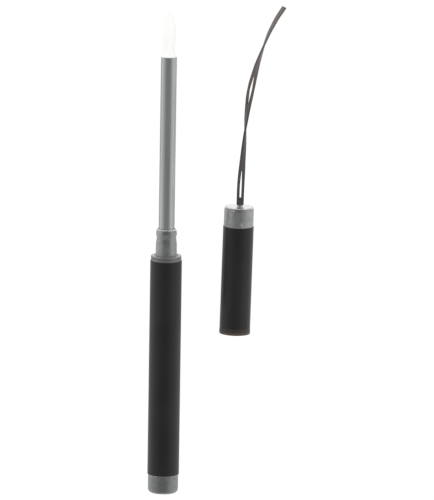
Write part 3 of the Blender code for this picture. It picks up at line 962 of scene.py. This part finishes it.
@dataclass
class Barrel(Turned):
    """Barrel with its tail, collar and bush."""

    wall: float = 0.5 * MM
    seat_gap: float = 0.05 * MM
    edge: float = 0.15 * MM
    edge_wear: float = 0.4
    tail_edge: float = 1.2 * MM
    tail_wall: float = 1.45 * MM
    tail_end_wall: float = 2.0 * MM
    tail_shoulder: float = 0.1 * MM
    tail_shoulder_wear: float = 1.0
    spigot_edge: float = 0.3 * MM
    spigot_wall: float = 0.9 * MM
    flange_length: float = 1.4 * MM
    flange_edge: float = 0.18 * MM
    # Below 0 the flange's rim turns darker and rougher
    flange_darkening: float = -1.0
    flange_back_wear: float = 0.6
    face_wear: float = 1.1
    neck_length: float = 7.78 * MM
    neck_bore: float = 2.35 * MM
    neck_swell_at: float = 4.3 * MM
    neck_swell_radius: float = 2.99 * MM
    neck_knee: float = 2.0 * MM
    root_radius: float = 3.04 * MM
    root_fillet: float = 0.35 * MM
    # Below 0: painted shade in the corner where the neck meets the flange
    root_painted_shade: float = -0.7
    lip_radius: float = 2.98 * MM
    lip_length: float = 1.7 * MM
    lip_edge: float = 0.3 * MM
    lip_crest_at: float = 1.4 * MM
    lip_fall: float = 0.17 * MM
    nose_length: float = 0.44 * MM
    nose_wall: float = 0.1 * MM
    nose_edge: float = 0.08 * MM
    nose_wear: float = 1.15
    groove_radius: float = 2.79 * MM
    groove_at: float = 2.58 * MM
    groove_length: float = 0.5 * MM
    bush_bore: float = 2.3 * MM
    bush_wall: float = 0.7 * MM
    bush_flange: float = 1.0 * MM
    bush_edge: float = 0.12 * MM

    BODY = Body.BARREL

    def build(self) -> None:
        """Make the four pieces."""
        for make in (self.tube, self.tail, self.collar, self.bush):
            make()

    @property
    def spigot(self) -> float:
        """Radius of what is pushed into the tube."""
        return self.span("barrel_tube").radius - self.wall - self.seat_gap

    def tube(self) -> None:
        """Make the black tube."""
        back, front, radius = self.span("barrel_tube")
        bore = radius - self.wall
        self.make("barrel_lacquered", "barrel_tube", BLACK_LACQUER, [
            Corner(radius, front, self.edge, self.edge_wear),
            Corner(radius, back, self.edge, self.edge_wear),
            Corner(bore, back),
            Corner(bore, front),
        ], mirrored=False)

    def tail(self) -> None:
        """Make the grey tail plug."""
        back, front, radius = self.span("end_plug")
        shoulder = self.span("barrel_tube").back - self.seat_gap
        core = self.spigot - self.tail_wall
        self.make("tail_satin", "end_plug", TAIL_SILVER, [
            Corner(0.0, back + self.tail_end_wall),
            Corner(core, back + self.tail_end_wall),
            Corner(core, front),
            Corner(self.spigot, front, self.spigot_edge),
            Corner(self.spigot, shoulder),
            Corner(radius, shoulder, self.tail_shoulder, self.tail_shoulder_wear),
            Corner(radius, back, self.tail_edge),
            Corner(0.0, back),
        ])

    def collar(self) -> None:
        """Make the grey front end with the neck that the cap snaps onto."""
        back, front, flange = self.span("collar")
        bush_seat = self.span("guide_bush").front + self.seat_gap
        bush_hole = self.spigot - self.spigot_wall
        flange_front = front - self.neck_length
        flange_back = flange_front - self.flange_length
        groove = front - self.groove_at
        self.make("collar_satin", "collar", SATIN_SILVER, [
            Corner(self.neck_bore + self.nose_wall, front, self.nose_edge, 0.0, self.nose_wear),
            Corner(self.lip_radius - self.lip_fall, front - self.nose_length, self.nose_edge),
            Corner(self.lip_radius, front - self.lip_crest_at, self.lip_edge),
            Corner(self.lip_radius, front - self.lip_length, self.lip_edge),
            Corner(self.groove_radius, groove + self.groove_length / 2, self.lip_edge),
            Corner(self.groove_radius, groove - self.groove_length / 2, self.lip_edge),
            Corner(self.neck_swell_radius, front - self.neck_swell_at, self.neck_knee),
            Corner(self.root_radius, flange_front, self.root_fillet, self.root_painted_shade, self.face_wear),
            Corner(flange, flange_front, self.flange_edge, 0.0, self.flange_darkening),
            Corner(flange, flange_back, self.flange_edge, self.flange_back_wear),
            Corner(self.spigot, flange_back),
            Corner(self.spigot, back, self.spigot_edge),
            Corner(bush_hole, back),
            Corner(bush_hole, bush_seat),
            Corner(self.neck_bore, bush_seat),
            Corner(self.neck_bore, front),
        ])

    def bush(self) -> None:
        """Make the pale bush that guides the shaft."""
        back, front, flange = self.span("guide_bush")
        radius = self.bush_bore + self.bush_wall
        self.make("bush_moulded", "guide_bush", PALE_MOULDING, [
            Corner(radius, front, self.bush_edge),
            Corner(radius, back + self.bush_flange),
            Corner(flange, back + self.bush_flange, self.bush_edge),
            Corner(flange, back, self.bush_edge),
            Corner(self.bush_bore, back, self.bush_edge),
            Corner(self.bush_bore, front, self.bush_edge),
        ])


@dataclass
class Shaft(Turned):
    """Drawn shaft with its nib, slider and friction ring."""

    wall: float = 0.35 * MM
    seat_gap: float = 0.05 * MM
    edge: float = 0.12 * MM
    edge_wear: float = 1.0
    nib_length: float = 12.5 * MM
    nib_waist: float = 1.7 * MM
    nib_waist_at: float = 2.0 * MM
    nib_belly: float = 2.025 * MM
    nib_belly_at: float = 6.4 * MM
    nib_steps: int = 20
    slider_length: float = 4.5 * MM
    slider_edge: float = 0.3 * MM
    ring_section: float = 0.9 * MM
    ring_side_gap: float = 0.15 * MM
    ring_steps: int = 24

    BODY = Body.SHAFT

    def build(self) -> None:
        """Make the four pieces."""
        for make in (self.tube, self.nib, self.slider, self.ring):
            make()

    @property
    def stem(self) -> float:
        """Radius of what is pushed into the tube."""
        return self.span("shaft_tube").radius - self.wall - self.seat_gap

    def tube(self) -> None:
        """Make the bare metal tube."""
        back, front, radius = self.span("shaft_tube")
        bore = radius - self.wall
        self.make("shaft_drawn", "shaft_tube", DRAWN_TUBE, [
            Corner(radius, front, self.edge, self.edge_wear),
            Corner(radius, back, self.edge, self.edge_wear),
            Corner(bore, back),
            Corner(bore, front),
        ])

    def nib_side(self) -> list[Station]:
        """Side of the nib, from its base: a flare, a swelling belly and a half-ellipse point.

        Returns:
            Its points, without the tip.
        """
        waist, waist_at = self.nib_waist, self.nib_waist_at
        belly, belly_at = self.nib_belly, self.nib_belly_at
        foot = self.span("shaft_tube").radius - waist
        flare, swell, point = [], [], []
        for step in range(self.nib_steps):
            share = step / self.nib_steps
            turn = math.pi / 2 * share
            flare.append(Station(waist + foot * (1 - math.sin(turn)), waist_at * share))
            swollen = waist + (belly - waist) * (1 - math.cos(2 * turn)) / 2
            swell.append(Station(swollen, waist_at + (belly_at - waist_at) * share))
            ahead = belly_at + (self.nib_length - belly_at) * math.sin(turn)
            point.append(Station(belly * math.cos(turn), ahead))
        return flare + swell + point

    def nib(self) -> None:
        """Make the white nib with its stem."""
        back, front, _ = self.span("nib")
        base = front - self.nib_length
        side = [Corner(radius, base + along) for radius, along, _ in reversed(self.nib_side())]
        self.make("nib_moulded", "nib", WHITE_NIB, [
            Corner(0.0, front),
            *side,
            Corner(self.stem, base),
            Corner(self.stem, back, self.edge),
            Corner(0.0, back),
        ])

    def slider(self) -> None:
        """Make the pale piston on the shaft's inner end."""
        back, front, head = self.span("slider")
        face = back + self.slider_length
        middle = back + self.slider_length / 2
        half = self.ring_section / 2 + self.ring_side_gap
        bottom = head - self.ring_section - self.seat_gap
        self.make("slider_moulded", "slider", PALE_MOULDING, [
            Corner(0.0, front),
            Corner(self.stem, front, self.slider_edge),
            Corner(self.stem, face),
            Corner(head, face, self.slider_edge),
            Corner(head, middle + half, self.edge),
            Corner(bottom, middle + half),
            Corner(bottom, middle - half),
            Corner(head, middle - half, self.edge),
            Corner(head, back, self.slider_edge),
            Corner(0.0, back),
        ])

    def ring(self) -> None:
        """Make the rubber ring on the slider."""
        back, front, radius = self.span("friction_ring")
        half = self.ring_section / 2
        turns = [-math.tau * i / self.ring_steps for i in range(self.ring_steps)]
        self.make("ring_rubber", "friction_ring", BLACK_RUBBER, [
            Corner(radius - half + half * math.cos(turn), (back + front) / 2 + half * math.sin(turn))
            for turn in turns
        ])


@dataclass
class Cap(Turned):
    """Cap with its liner, closed end and strap post.

    Attributes:
        post_axis: The post's own axis.
    """

    post_axis: Axis
    wall: float = 0.4 * MM
    seat_gap: float = 0.05 * MM
    edge: float = 0.12 * MM
    edge_wear: float = 0.4
    rim_rise: float = 0.06 * MM
    rim_length: float = 0.9 * MM
    # Paler, warmer lacquer on the rolled rim: a painted warm reflection
    rim_painted_reflection: float = 0.9
    flare_painted_reflection: float = 0.3
    mouth_painted_reflection: float = 0.5
    liner_bore: float = 3.2 * MM
    ridge_radius: float = 2.9 * MM
    ridge_at: float = 5.2 * MM
    ridge_length: float = 0.5 * MM
    ridge_ramp: float = 0.6 * MM
    end_length: float = 5.5 * MM
    end_edge: float = 0.3 * MM
    end_edge_wear: float = 1.3
    end_face_wear: float = 2.0
    end_taper: float = 1.0 * MM
    end_fall: float = 0.18 * MM
    end_shoulder: float = 0.1 * MM
    end_shoulder_wear: float = 1.0
    spigot_edge: float = 0.3 * MM
    post_out: float = 0.5 * MM
    post_fillet: float = 0.12 * MM
    post_wear: float = 0.8
    peg_radius: float = 0.45 * MM
    inside_slack: float = 0.01 * MM

    BODY = Body.CAP

    def build(self) -> None:
        """Make the four pieces."""
        for make in (self.tube, self.liner, self.end, self.post):
            make()

    def blacken_inside(self, piece: bpy.types.Object, radius: float, depth: float) -> None:
        """Give the faces that line the cap's hollow a matt black without shine, painted shade that blackens
        the cap end's metal there too.

        Args:
            piece: Turned piece of the cap.
            radius: Distance from the axis that those faces keep within.
            depth: Place along the axis that they keep behind.
        """
        piece.data.materials.append(CAP_HOLLOW_SHADE.material())
        for face in piece.data.polygons:
            off = face.center - self.axis.origin
            along = off.dot(self.axis.ahead)
            aside = (off - along * self.axis.ahead).length
            if along < depth + self.inside_slack and aside < radius + self.inside_slack:
                face.material_index = len(piece.data.materials) - 1

    def tube(self) -> None:
        """Make the black sleeve with a rolled rim at its mouth, whose paler, warmer colour there is a
        painted reflection.
        """
        back, front, rim = self.span("cap_tube")
        radius = rim - self.rim_rise
        bore = radius - self.wall
        piece = self.make("cap_lacquered", "cap_tube", CAP_LACQUER, [
            Corner(radius, front, self.edge, self.edge_wear),
            Corner(radius, back + 2 * self.rim_length, self.rim_length, 0.0, self.flare_painted_reflection),
            Corner(rim, back + self.rim_length, self.rim_length, 0.0, self.rim_painted_reflection),
            Corner(rim, back, self.wall / 2, self.rim_painted_reflection),
            Corner(bore, back, self.wall / 2, self.mouth_painted_reflection),
            Corner(bore, front),
        ], mirrored=False)
        self.blacken_inside(piece, bore, front)

    def liner(self) -> None:
        """Make the dark sleeve whose ridge snaps into the neck's groove."""
        back, front, radius = self.span("cap_liner")
        ridge = self.span("cap_tube").back + self.ridge_at
        half = self.ridge_length / 2
        self.make("liner_moulded", "cap_liner", DARK_LINER, [
            Corner(radius, front),
            Corner(radius, back),
            Corner(self.liner_bore, back, self.wall),
            Corner(self.liner_bore, ridge - half - self.ridge_ramp, self.ridge_length),
            Corner(self.ridge_radius, ridge - half, self.ridge_length),
            Corner(self.ridge_radius, ridge + half, self.ridge_length),
            Corner(self.liner_bore, ridge + half + self.ridge_ramp, self.ridge_length),
            Corner(self.liner_bore, front),
        ], mirrored=False)

    def end(self) -> None:
        """Make the grey closed end with the bright face that the post stands in."""
        back, front, radius = self.span("cap_end")
        spigot = self.span("cap_tube").radius - self.rim_rise - self.wall - self.seat_gap
        shoulder = front - self.end_length
        piece = self.make("cap_end_satin", "cap_end", CAP_SILVER, [
            Corner(0.0, front, 0.0, 0.0, self.end_face_wear),
            Corner(radius - self.end_fall, front, self.end_edge, self.end_edge_wear),
            Corner(radius, front - self.end_taper, self.end_taper),
            Corner(radius, shoulder, self.end_shoulder, self.end_shoulder_wear),
            Corner(spigot, shoulder),
            Corner(spigot, back, self.spigot_edge),
            Corner(0.0, back),
        ], mirrored=False)
        self.blacken_inside(piece, spigot, back + self.spigot_edge)

    def post(self) -> None:
        """Make the small post with the peg that holds the boot."""
        back, front, radius = self.post_axis.span("strap_post")
        shoulder = self.post_axis.span("cap_end").front + self.post_out
        self.make("post_satin", "strap_post", POST_SILVER, [
            Corner(0.0, front),
            Corner(self.peg_radius, front, self.post_fillet),
            Corner(self.peg_radius, shoulder),
            Corner(radius, shoulder, self.post_fillet, self.post_wear),
            Corner(radius, back, self.post_fillet),
            Corner(0.0, back),
        ], axis=self.post_axis)


@dataclass
class Lace:
    """Slotted lace on the cap and the boot that grips it.

    Attributes:
        axis: The axis of the post that the boot sits on.
    """

    axis: Axis
    width: float = 2.05 * MM
    thickness: float = 0.6 * MM
    face_edge: float = 0.12 * MM
    face_edge_steps: int = 3
    bevel_angle: float = math.radians(60.0)
    slot_end_width: float = 0.42 * MM
    slot_swell: float = 0.14 * MM
    grip: float = 0.75 * MM
    lie_gap: float = 0.05 * MM
    end_slant: float = 0.4 * MM
    slant_run: float = 2.0 * MM
    row: float = 0.35 * MM
    boot_width: float = 2.05 * MM
    boot_thickness: float = 1.5 * MM
    boot_edge: float = 0.22 * MM
    boot_edge_steps: int = 5
    boot_relief: float = 0.15 * MM
    slit_gap: float = 0.05 * MM
    peg_hole_radius: float = 0.5 * MM
    peg_hole_depth: float = 0.55 * MM
    peg_hole_steps: int = 32

    # Start and end of each slot, along the lace
    SLOTS = ((1.3 * MM, 8.9 * MM), (28.0 * MM, 36.2 * MM))

    # Columns of points across the lace, as shares of its half width; the slots open beside the middle one
    SLOT_COLUMN = 0.24
    COLUMNS = (-1.0, -0.78, -0.5, -SLOT_COLUMN, 0.0, SLOT_COLUMN, 0.5, 0.78, 1.0)

    # Across from the post's axis and along it from the boot's top in millimetres, how much of the axis's
    # height is left, and the turn of the flat side in degrees
    ROUTE = (
        (0.00, 0.0, 1.00, 0),
        (-0.01, 1.7, 0.99, 5),
        (0.01, 4.0, 0.92, 13),
        (0.08, 6.2, 0.80, 24),
        (0.18, 8.4, 0.62, 36),
        (0.29, 10.7, 0.43, 49),
        (0.41, 12.9, 0.26, 57),
        (0.53, 15.1, 0.12, 65),
        (0.63, 17.4, 0.03, 76),
        (0.73, 19.7, 0.00, 90),
        (0.86, 22.0, 0.00, 105),
        (1.05, 24.3, 0.00, 117),
        (1.28, 26.6, 0.00, 131),
        (1.57, 28.9, 0.00, 151),
        (1.93, 31.2, 0.00, 178),
        (2.36, 33.6, 0.00, 204),
        (2.85, 35.9, 0.00, 221),
        (3.41, 38.3, 0.00, 234),
        (4.06, 40.6, 0.00, 248),
        (4.80, 43.0, 0.00, 261),
        (5.59, 45.3, 0.00, 272),
        (6.49, 47.7, 0.00, 280),
        (7.55, 50.0, 0.00, 285),
        (8.76, 52.4, 0.00, 288),
        (9.81, 54.1, 0.00, 290),
        (10.66, 55.5, 0.00, 291),
    )
    STEPS = 20  # steps from one of the route's points to the next

    def build(self) -> None:
        """Make the boot and the lace that goes with it."""
        self.lace(self.boot())

    def station(self, at: float) -> Vector:
        """Smooth curve through the route.

        Args:
            at: Place on it, counted in the route's points.

        Returns:
            The route's four values there.
        """
        last = len(self.ROUTE) - 1
        i = min(int(at), last - 1)
        t = at - i
        before, start, end, after = (Vector(self.ROUTE[min(max(k, 0), last)]) for k in range(i - 1, i + 3))
        return (
            (2 * t**3 - 3 * t**2 + 1) * start + (t**3 - 2 * t**2 + t) * (end - before) / 2
            + (3 * t**2 - 2 * t**3) * end + (t**3 - t**2) * (after - start) / 2
        )

    def middle(self) -> list[tuple[Vector, float]]:
        """Middle of the lace, from its foot in the boot to its end.

        Returns:
            Its points, each with the turn of the flat side.
        """
        boot_top = self.axis.span("strap_boot").front
        axis_height = self.axis.origin.z
        points = [(self.axis.point(0.0, boot_top - self.grip, axis_height), 0.0)]
        for k in range((len(self.ROUTE) - 1) * self.STEPS + 1):
            across, along, lift, degrees = self.station(k / self.STEPS)
            turn = math.radians(degrees)
            stands = (self.width * abs(math.sin(turn)) + self.thickness * abs(math.cos(turn))) / 2
            lying = stands + self.lie_gap
            height = lying + (axis_height - lying) * lift
            points.append((self.axis.point(across * MM, boot_top + along * MM, height), turn))
        return points

    def slot_half(self, along: float) -> float:
        """Half the slot's width.

        Args:
            along: Place along the lace.

        Returns:
            The half width there, or 0 outside the slots.
        """
        for start, end in self.SLOTS:
            if start - ROUND_OFF <= along <= end + ROUND_OFF:
                open_share = math.sin(math.pi * (along - start) / (end - start))
                return (self.slot_end_width + self.slot_swell * open_share) / 2
        return 0.0

    def rows(self, length: float) -> list[float]:
        """Places along the lace where its flat cut has a row of points.

        Args:
            length: The lace's length.

        Returns:
            The places, in order.
        """
        stops = [0.0, *(end for slot in self.SLOTS for end in slot), length]
        places: list[float] = []
        for start, end in zip(stops, stops[1:]):
            count = max(1, round((end - start) / self.row))
            places += [start + (end - start) * i / count for i in range(count)]
        return places + [length]

    def sheet(self, length: float) -> bpy.types.Mesh:
        """Outline of the lace before it is laid: across X, along Y, with its slots and slanting end.

        Args:
            length: Its length.

        Returns:
            A flat mesh.
        """
        rows = self.rows(length)
        across, along = len(self.COLUMNS) - 1, len(rows) - 1
        work = bmesh.new()
        bmesh.ops.create_grid(work, x_segments=across, y_segments=along, size=1.0)
        in_slot = []
        for face in work.faces:
            centre = face.calc_center_median()
            row = int((centre.y + 1) / 2 * along)
            if abs(centre.x) < 2 / across and self.slot_half((rows[row] + rows[row + 1]) / 2):
                in_slot.append(face)
        for point in work.verts:
            place = rows[round((point.co.y + 1) / 2 * along)]
            column = self.COLUMNS[round((point.co.x + 1) / 2 * across)]
            aside = column * self.width / 2
            if abs(column) == self.SLOT_COLUMN and self.slot_half(place):
                aside = math.copysign(self.slot_half(place), column)
            near_end = max(0.0, 1 - (length - place) / self.slant_run)
            point.co = (aside, place - self.end_slant * near_end * (1 + column) / 2, 0.0)
        bmesh.ops.delete(work, geom=in_slot, context="FACES")
        return keep_mesh("lace_sheet", work)

    def flat_cut(self, length: float) -> bpy.types.Mesh:
        """The lace before it is laid, with its thickness and round edges.

        Args:
            length: Its length.

        Returns:
            A closed mesh with the map of the lace.
        """
        blank = add_object("lace_blank", self.sheet(length))
        wall = blank.modifiers.new("thickness", "SOLIDIFY")
        wall.thickness = self.thickness
        wall.offset = 0.0
        bevel = blank.modifiers.new("edges", "BEVEL")
        bevel.width = self.face_edge
        bevel.segments = self.face_edge_steps
        bevel.angle_limit = self.bevel_angle
        solid = settle("lace_cut", blank)
        lace_map = solid.attributes.new(LACE_MAP, "FLOAT_VECTOR", "POINT")
        for point, value in zip(solid.vertices, lace_map.data):
            value.vector = point.co
        return solid

    def route_curve(self, middle: list[tuple[Vector, float]]) -> bpy.types.Object:
        """Curve along the lace's middle, whose tilt is the turn of the flat side.

        Args:
            middle: Points of the middle, each with that turn.

        Returns:
            The curve.
        """
        data = bpy.data.curves.new("lace_route", "CURVE")
        data.dimensions = "3D"
        spline = data.splines.new("POLY")
        spline.points.add(len(middle) - 1)
        for point, (place, turn) in zip(spline.points, middle):
            point.co = (*place, 1.0)
            point.tilt = turn
        return add_object("lace_route", data)

    def laying_tree(self) -> Tree:
        """Tree that lays a flat cut along a route and turns it about the route's line.

        Returns:
            The tree.
        """
        tree = Tree("lay_lace_along_route", Route="Object")
        feeds = {"Object": tree.entry["Route"]}
        route = tree.add("GeometryNodeObjectInfo", feeds, transform_space="ORIGINAL")
        flat = tree.parts(tree.add("GeometryNodeInputPosition").outputs["Position"])
        tilt = tree.add("GeometryNodeInputCurveTilt").outputs["Tilt"]
        feeds = {"Curves": route.outputs["Geometry"], "Value": tilt, "Length": flat["Y"]}
        here = tree.add("GeometryNodeSampleCurve", feeds, mode="LENGTH").outputs
        level = tree.vector("NORMALIZE", tree.vector("CROSS_PRODUCT", (0.0, 0.0, 1.0), here["Tangent"]))
        upright = tree.vector("CROSS_PRODUCT", here["Tangent"], level)
        cosine, sine = (tree.maths(function, here["Value"]) for function in ("COSINE", "SINE"))
        level_cosine, upright_cosine = (tree.vector("SCALE", side, cosine) for side in (level, upright))
        level_sine, upright_sine = (tree.vector("SCALE", side, sine) for side in (level, upright))
        across = tree.vector("ADD", level_cosine, upright_sine)
        out = tree.vector("SUBTRACT", upright_cosine, level_sine)
        aside = tree.vector("SCALE", across, flat["X"])
        off = tree.vector("ADD", aside, tree.vector("SCALE", out, flat["Z"]))
        place = tree.vector("ADD", here["Position"], off)
        laid = tree.add("GeometryNodeSetPosition", {"Geometry": tree.entry["Geometry"], "Position": place})
        tree.end(laid.outputs["Geometry"])
        return tree

    def lace(self, boot: bpy.types.Object) -> None:
        """Make the lace, laid along its route.

        Args:
            boot: The boot, which goes with it.
        """
        middle = self.middle()
        length = sum((b - a).length for (a, _), (b, _) in zip(middle, middle[1:]))
        route = self.route_curve(middle)
        cut = self.flat_cut(length)
        piece = self.laying_tree().run("lace_leather", cut, Route=route, Finish=DARK_STRAP.material())
        bpy.data.objects.remove(route)
        hand_over(piece, Body.CAP, "strap")

    @staticmethod
    def block(name: str, size: Triple, middle: float) -> bpy.types.Object:
        """Plain block on the Z axis.

        Args:
            name: Its name.
            size: Its sizes along X, Y and Z.
            middle: Height of its middle.

        Returns:
            The block.
        """
        work = bmesh.new()
        place = Matrix.Translation((0.0, 0.0, middle)) @ Matrix.Diagonal((*size, 1.0))
        bmesh.ops.create_cube(work, matrix=place)
        return add_object(name, keep_mesh(name, work))

    def peg_hole(self, back: float) -> bpy.types.Object:
        """Round tool that cuts the hole for the post's peg.

        Args:
            back: Height of the boot's lower face.

        Returns:
            The tool.
        """
        work = bmesh.new()
        bmesh.ops.create_cone(
            work,
            cap_ends=True,
            segments=self.peg_hole_steps,
            radius1=self.peg_hole_radius,
            radius2=self.peg_hole_radius,
            depth=2 * self.peg_hole_depth,
            matrix=Matrix.Translation((0.0, 0.0, back)),
        )
        return add_object("boot_hole", keep_mesh("boot_hole", work))

    def boot(self) -> bpy.types.Object:
        """Make the small moulded block on the post, with the slit that grips the lace.

        Returns:
            The boot.
        """
        back, front, _ = self.axis.span("strap_boot")
        back += self.boot_relief
        size = (self.boot_width, self.boot_thickness, front - back)
        blank = self.block("boot_blank", size, (front + back) / 2)
        bevel = blank.modifiers.new("edges", "BEVEL")
        bevel.width = self.boot_edge
        bevel.segments = self.boot_edge_steps
        slit = (2 * self.boot_width, self.thickness + 2 * self.slit_gap, 2 * (self.grip + self.slit_gap))
        tools = (self.block("boot_slit", slit, front), self.peg_hole(back))
        for tool in tools:
            cut = blank.modifiers.new(tool.name, "BOOLEAN")
            cut.operation = "DIFFERENCE"
            cut.object = tool
        solid = settle("boot_moulded", blank, *tools)
        turn = Euler((-math.pi / 2, 0.0, self.axis.lean)).to_matrix().to_4x4()
        solid.transform(Matrix.Translation(self.axis.origin) @ turn)
        tidy_mesh(solid)
        solid.materials.clear()
        solid.materials.append(DARK_BOOT.material())
        piece = add_object("boot_moulded", solid)
        hand_over(piece, Body.CAP, "strap_boot")
        return piece


@dataclass
class Studio:
    """White table and soft light from both sides, dimmer between them, with a dark bar round the camera.

    Attributes:
        floor_half: Half the side of the floor.
        floor_white: Its grey value.
        floor_glow: Strength of its glow.
        camera_glow: Share of glow in what the camera sees of it.
        glossy_glow: Share of glow in its reflections.
        sky_middle: Level of the sky overhead.
        sky_side: Level at the sides.
        sky_span: How far aside the sky starts and stops brightening.
        sky_right: How much sooner it does so on the right.
        sky_low: Level low down.
        low_span: How high the low sky starts and stops dimming.
        bar_tilt: Turn of the bar from overhead towards the nib.
        bar_across: Half its angle across the pen.
        bar_along: Half its angle along the pen.
        bar_level: Share of the sky's light that it lets through.
        bar_fade: Shares of its angles over which its edge fades.
        lamp_powers: Power of the left and the right lamp in watts.
        lamp_size: Side of a lamp.
        lamp_reach: How far aside the lamps hang.
        lamp_ahead: How far towards the nib they hang.
        lamp_height: How high they hang.
    """

    floor_half: float = 3.0
    floor_white: float = 0.92
    floor_glow: float = 1.05
    camera_glow: float = 0.92
    glossy_glow: float = 0.5
    sky_middle: float = 0.37
    sky_side: float = 0.95
    sky_span: Pair = (0.45, 1.25)
    sky_right: float = 1.18
    sky_low: float = 0.75
    low_span: Pair = (0.15, 0.45)
    bar_tilt: float = math.radians(11.0)
    bar_across: float = math.radians(62.0)
    bar_along: float = math.radians(18.0)
    bar_level: float = 0.4
    bar_fade: Pair = (0.7, 1.0)
    lamp_powers: Pair = (4.5, 3.8)
    lamp_size: float = 0.7
    lamp_reach: float = 0.6
    lamp_ahead: float = 0.15
    lamp_height: float = 0.7

    def build(self) -> None:
        """Make the floor, the sky and the lamps."""
        self.floor()
        self.sky()
        left, right = self.lamp_powers
        self.lamp("soft_box_left", -self.lamp_reach, left)
        self.lamp("soft_box_right", self.lamp_reach, right)

    def glow_share(self, nodes: Nodes) -> Socket:
        """How much of the floor is glow: most to the camera, half in reflections, none as light on things.

        Args:
            nodes: The floor's nodes.

        Returns:
            The share's socket.
        """
        path = nodes.add("ShaderNodeLightPath").outputs
        glows = {
            "Is Camera Ray": self.camera_glow,
            "Is Glossy Ray": self.glossy_glow,
            "Is Transmission Ray": self.glossy_glow,
        }
        share: Any = 0.0
        for ray, glow in glows.items():
            share = nodes.maths("MULTIPLY_ADD", path[ray], glow, share)
        return share

    def floor(self) -> None:
        """Make the pale floor, which looks white and keeps a soft shadow."""
        work = bmesh.new()
        bmesh.ops.create_grid(work, x_segments=2, y_segments=2, size=self.floor_half)
        floor = add_object("floor", keep_mesh("floor", work))
        material = bpy.data.materials.new("pale_floor")
        material.use_nodes = True
        nodes = Nodes(material.node_tree)
        nodes.tree.nodes.clear()
        white = self.floor_white
        matt = nodes.add("ShaderNodeBsdfDiffuse", {"Color": (white, white, white, 1.0)})
        glow = nodes.add("ShaderNodeEmission", {"Strength": self.floor_glow})
        feeds = {"Fac": self.glow_share(nodes), 1: matt.outputs["BSDF"], 2: glow.outputs["Emission"]}
        mix = nodes.add("ShaderNodeMixShader", feeds)
        nodes.add("ShaderNodeOutputMaterial", {"Surface": mix.outputs["Shader"]})
        floor.data.materials.append(material)

    def sky(self) -> None:
        """Make the sky: bright low down and at the sides, more so on the right, and darkest at the bar."""
        world = bpy.data.worlds.new("studio")
        world.use_nodes = True
        bpy.context.scene.world = world
        nodes = Nodes(world.node_tree)
        nodes.tree.nodes.clear()
        way = nodes.add("ShaderNodeTexCoord").outputs["Generated"]
        parts = nodes.parts(way)
        left = nodes.maths("MULTIPLY", parts["X"], -1.0)
        right = nodes.maths("MULTIPLY", parts["X"], self.sky_right)
        aside = nodes.maths("MAXIMUM", left, right)
        sides = nodes.spread(aside, self.sky_span, (self.sky_middle, self.sky_side), smooth=True)
        low = nodes.spread(parts["Z"], self.low_span, (self.sky_low, self.sky_middle), smooth=True)
        feeds = {"Vector": way, "Angle": self.bar_tilt}
        tilted = nodes.add("ShaderNodeVectorRotate", feeds, rotation_type="X_AXIS").outputs["Vector"]
        shape = (1 / math.sin(self.bar_across), 1 / math.sin(self.bar_along), 0.0)
        off = nodes.vector("LENGTH", nodes.vector("MULTIPLY", tilted, shape))
        bar = nodes.spread(off, self.bar_fade, (self.bar_level, 1.0), smooth=True)
        level = nodes.maths("MULTIPLY", nodes.maths("MAXIMUM", sides, low), bar)
        light = nodes.add("ShaderNodeBackground", {"Color": (1.0, 1.0, 1.0, 1.0), "Strength": level})
        nodes.add("ShaderNodeOutputWorld", {"Surface": light.outputs["Background"]})

    def lamp(self, name: str, aside: float, power: float) -> None:
        """Hang a soft box beside the table.

        Args:
            name: Its name.
            aside: How far it hangs to the right of the table's middle.
            power: Its power in watts.
        """
        data = bpy.data.lights.new(name, "AREA")
        data.energy = power
        data.size = self.lamp_size
        lamp = add_object(name, data)
        lamp.location = (aside, self.lamp_ahead, self.lamp_height)
        lamp.rotation_euler = (-lamp.location).to_track_quat("-Z", "Y").to_euler()
        lamp.visible_glossy = False


@dataclass
class Camera:
    """Long lens almost straight above, a little to the nib's side.

    Attributes:
        target: Point on the floor that it looks at.
        distance: How far away it is.
        tilt: Turn of its line of sight from straight down.
        roll: Turn of the picture about that line.
        frame_height: How much the picture shows from top to bottom.
        sensor: Width of its sensor in millimetres.
    """

    target: Pair = (4.267 * MM, 0.319 * MM)
    distance: float = 4.0
    tilt: float = math.radians(11.0)
    roll: float = 0.01487
    frame_height: float = 142.22 * MM
    sensor: float = 36.0

    def build(self) -> None:
        """Make the camera and let the scene use it."""
        data = bpy.data.cameras.new("camera")
        data.sensor_width = self.sensor
        data.lens = self.sensor * self.distance / self.frame_height
        camera = add_object("camera", data)
        back = Vector((0.0, math.sin(self.tilt), math.cos(self.tilt)))
        up = Vector((0.0, math.cos(self.tilt), -math.sin(self.tilt)))
        right = Vector((1.0, 0.0, 0.0))
        turned_right = math.cos(self.roll) * right + math.sin(self.roll) * up
        turned_up = math.cos(self.roll) * up - math.sin(self.roll) * right
        axes = Matrix((turned_right, turned_up, back)).transposed().to_4x4()
        camera.matrix_world = Matrix.Translation(Vector((*self.target, 0.0)) + self.distance * back) @ axes
        bpy.context.scene.camera = camera


def main() -> None:
    """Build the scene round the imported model."""
    logging.basicConfig(level=logging.INFO, format="%(message)s")
    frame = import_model()
    nodes = frame["nodes"]
    bpy.context.scene.view_settings.view_transform = "Standard"
    Camera().build()
    joints = {joint["name"]: joint for joint in frame["joints"]}
    pen_axis = Axis.through("barrel_tube", Vector((0.0, 1.0, 0.0)), nodes)
    cap_axis = Axis.through("cap_tube", Vector(joints["cap_pull"]["axis"]).normalized(), nodes)
    post_axis = Axis.through("strap_post", cap_axis.ahead, nodes)
    lathe = Lathe()
    Lace(post_axis).build()
    Barrel(lathe, pen_axis).build()
    Shaft(lathe, pen_axis).build()
    Cap(lathe, cap_axis, post_axis).build()
    Studio().build()


if __name__ == "__main__":
    main()
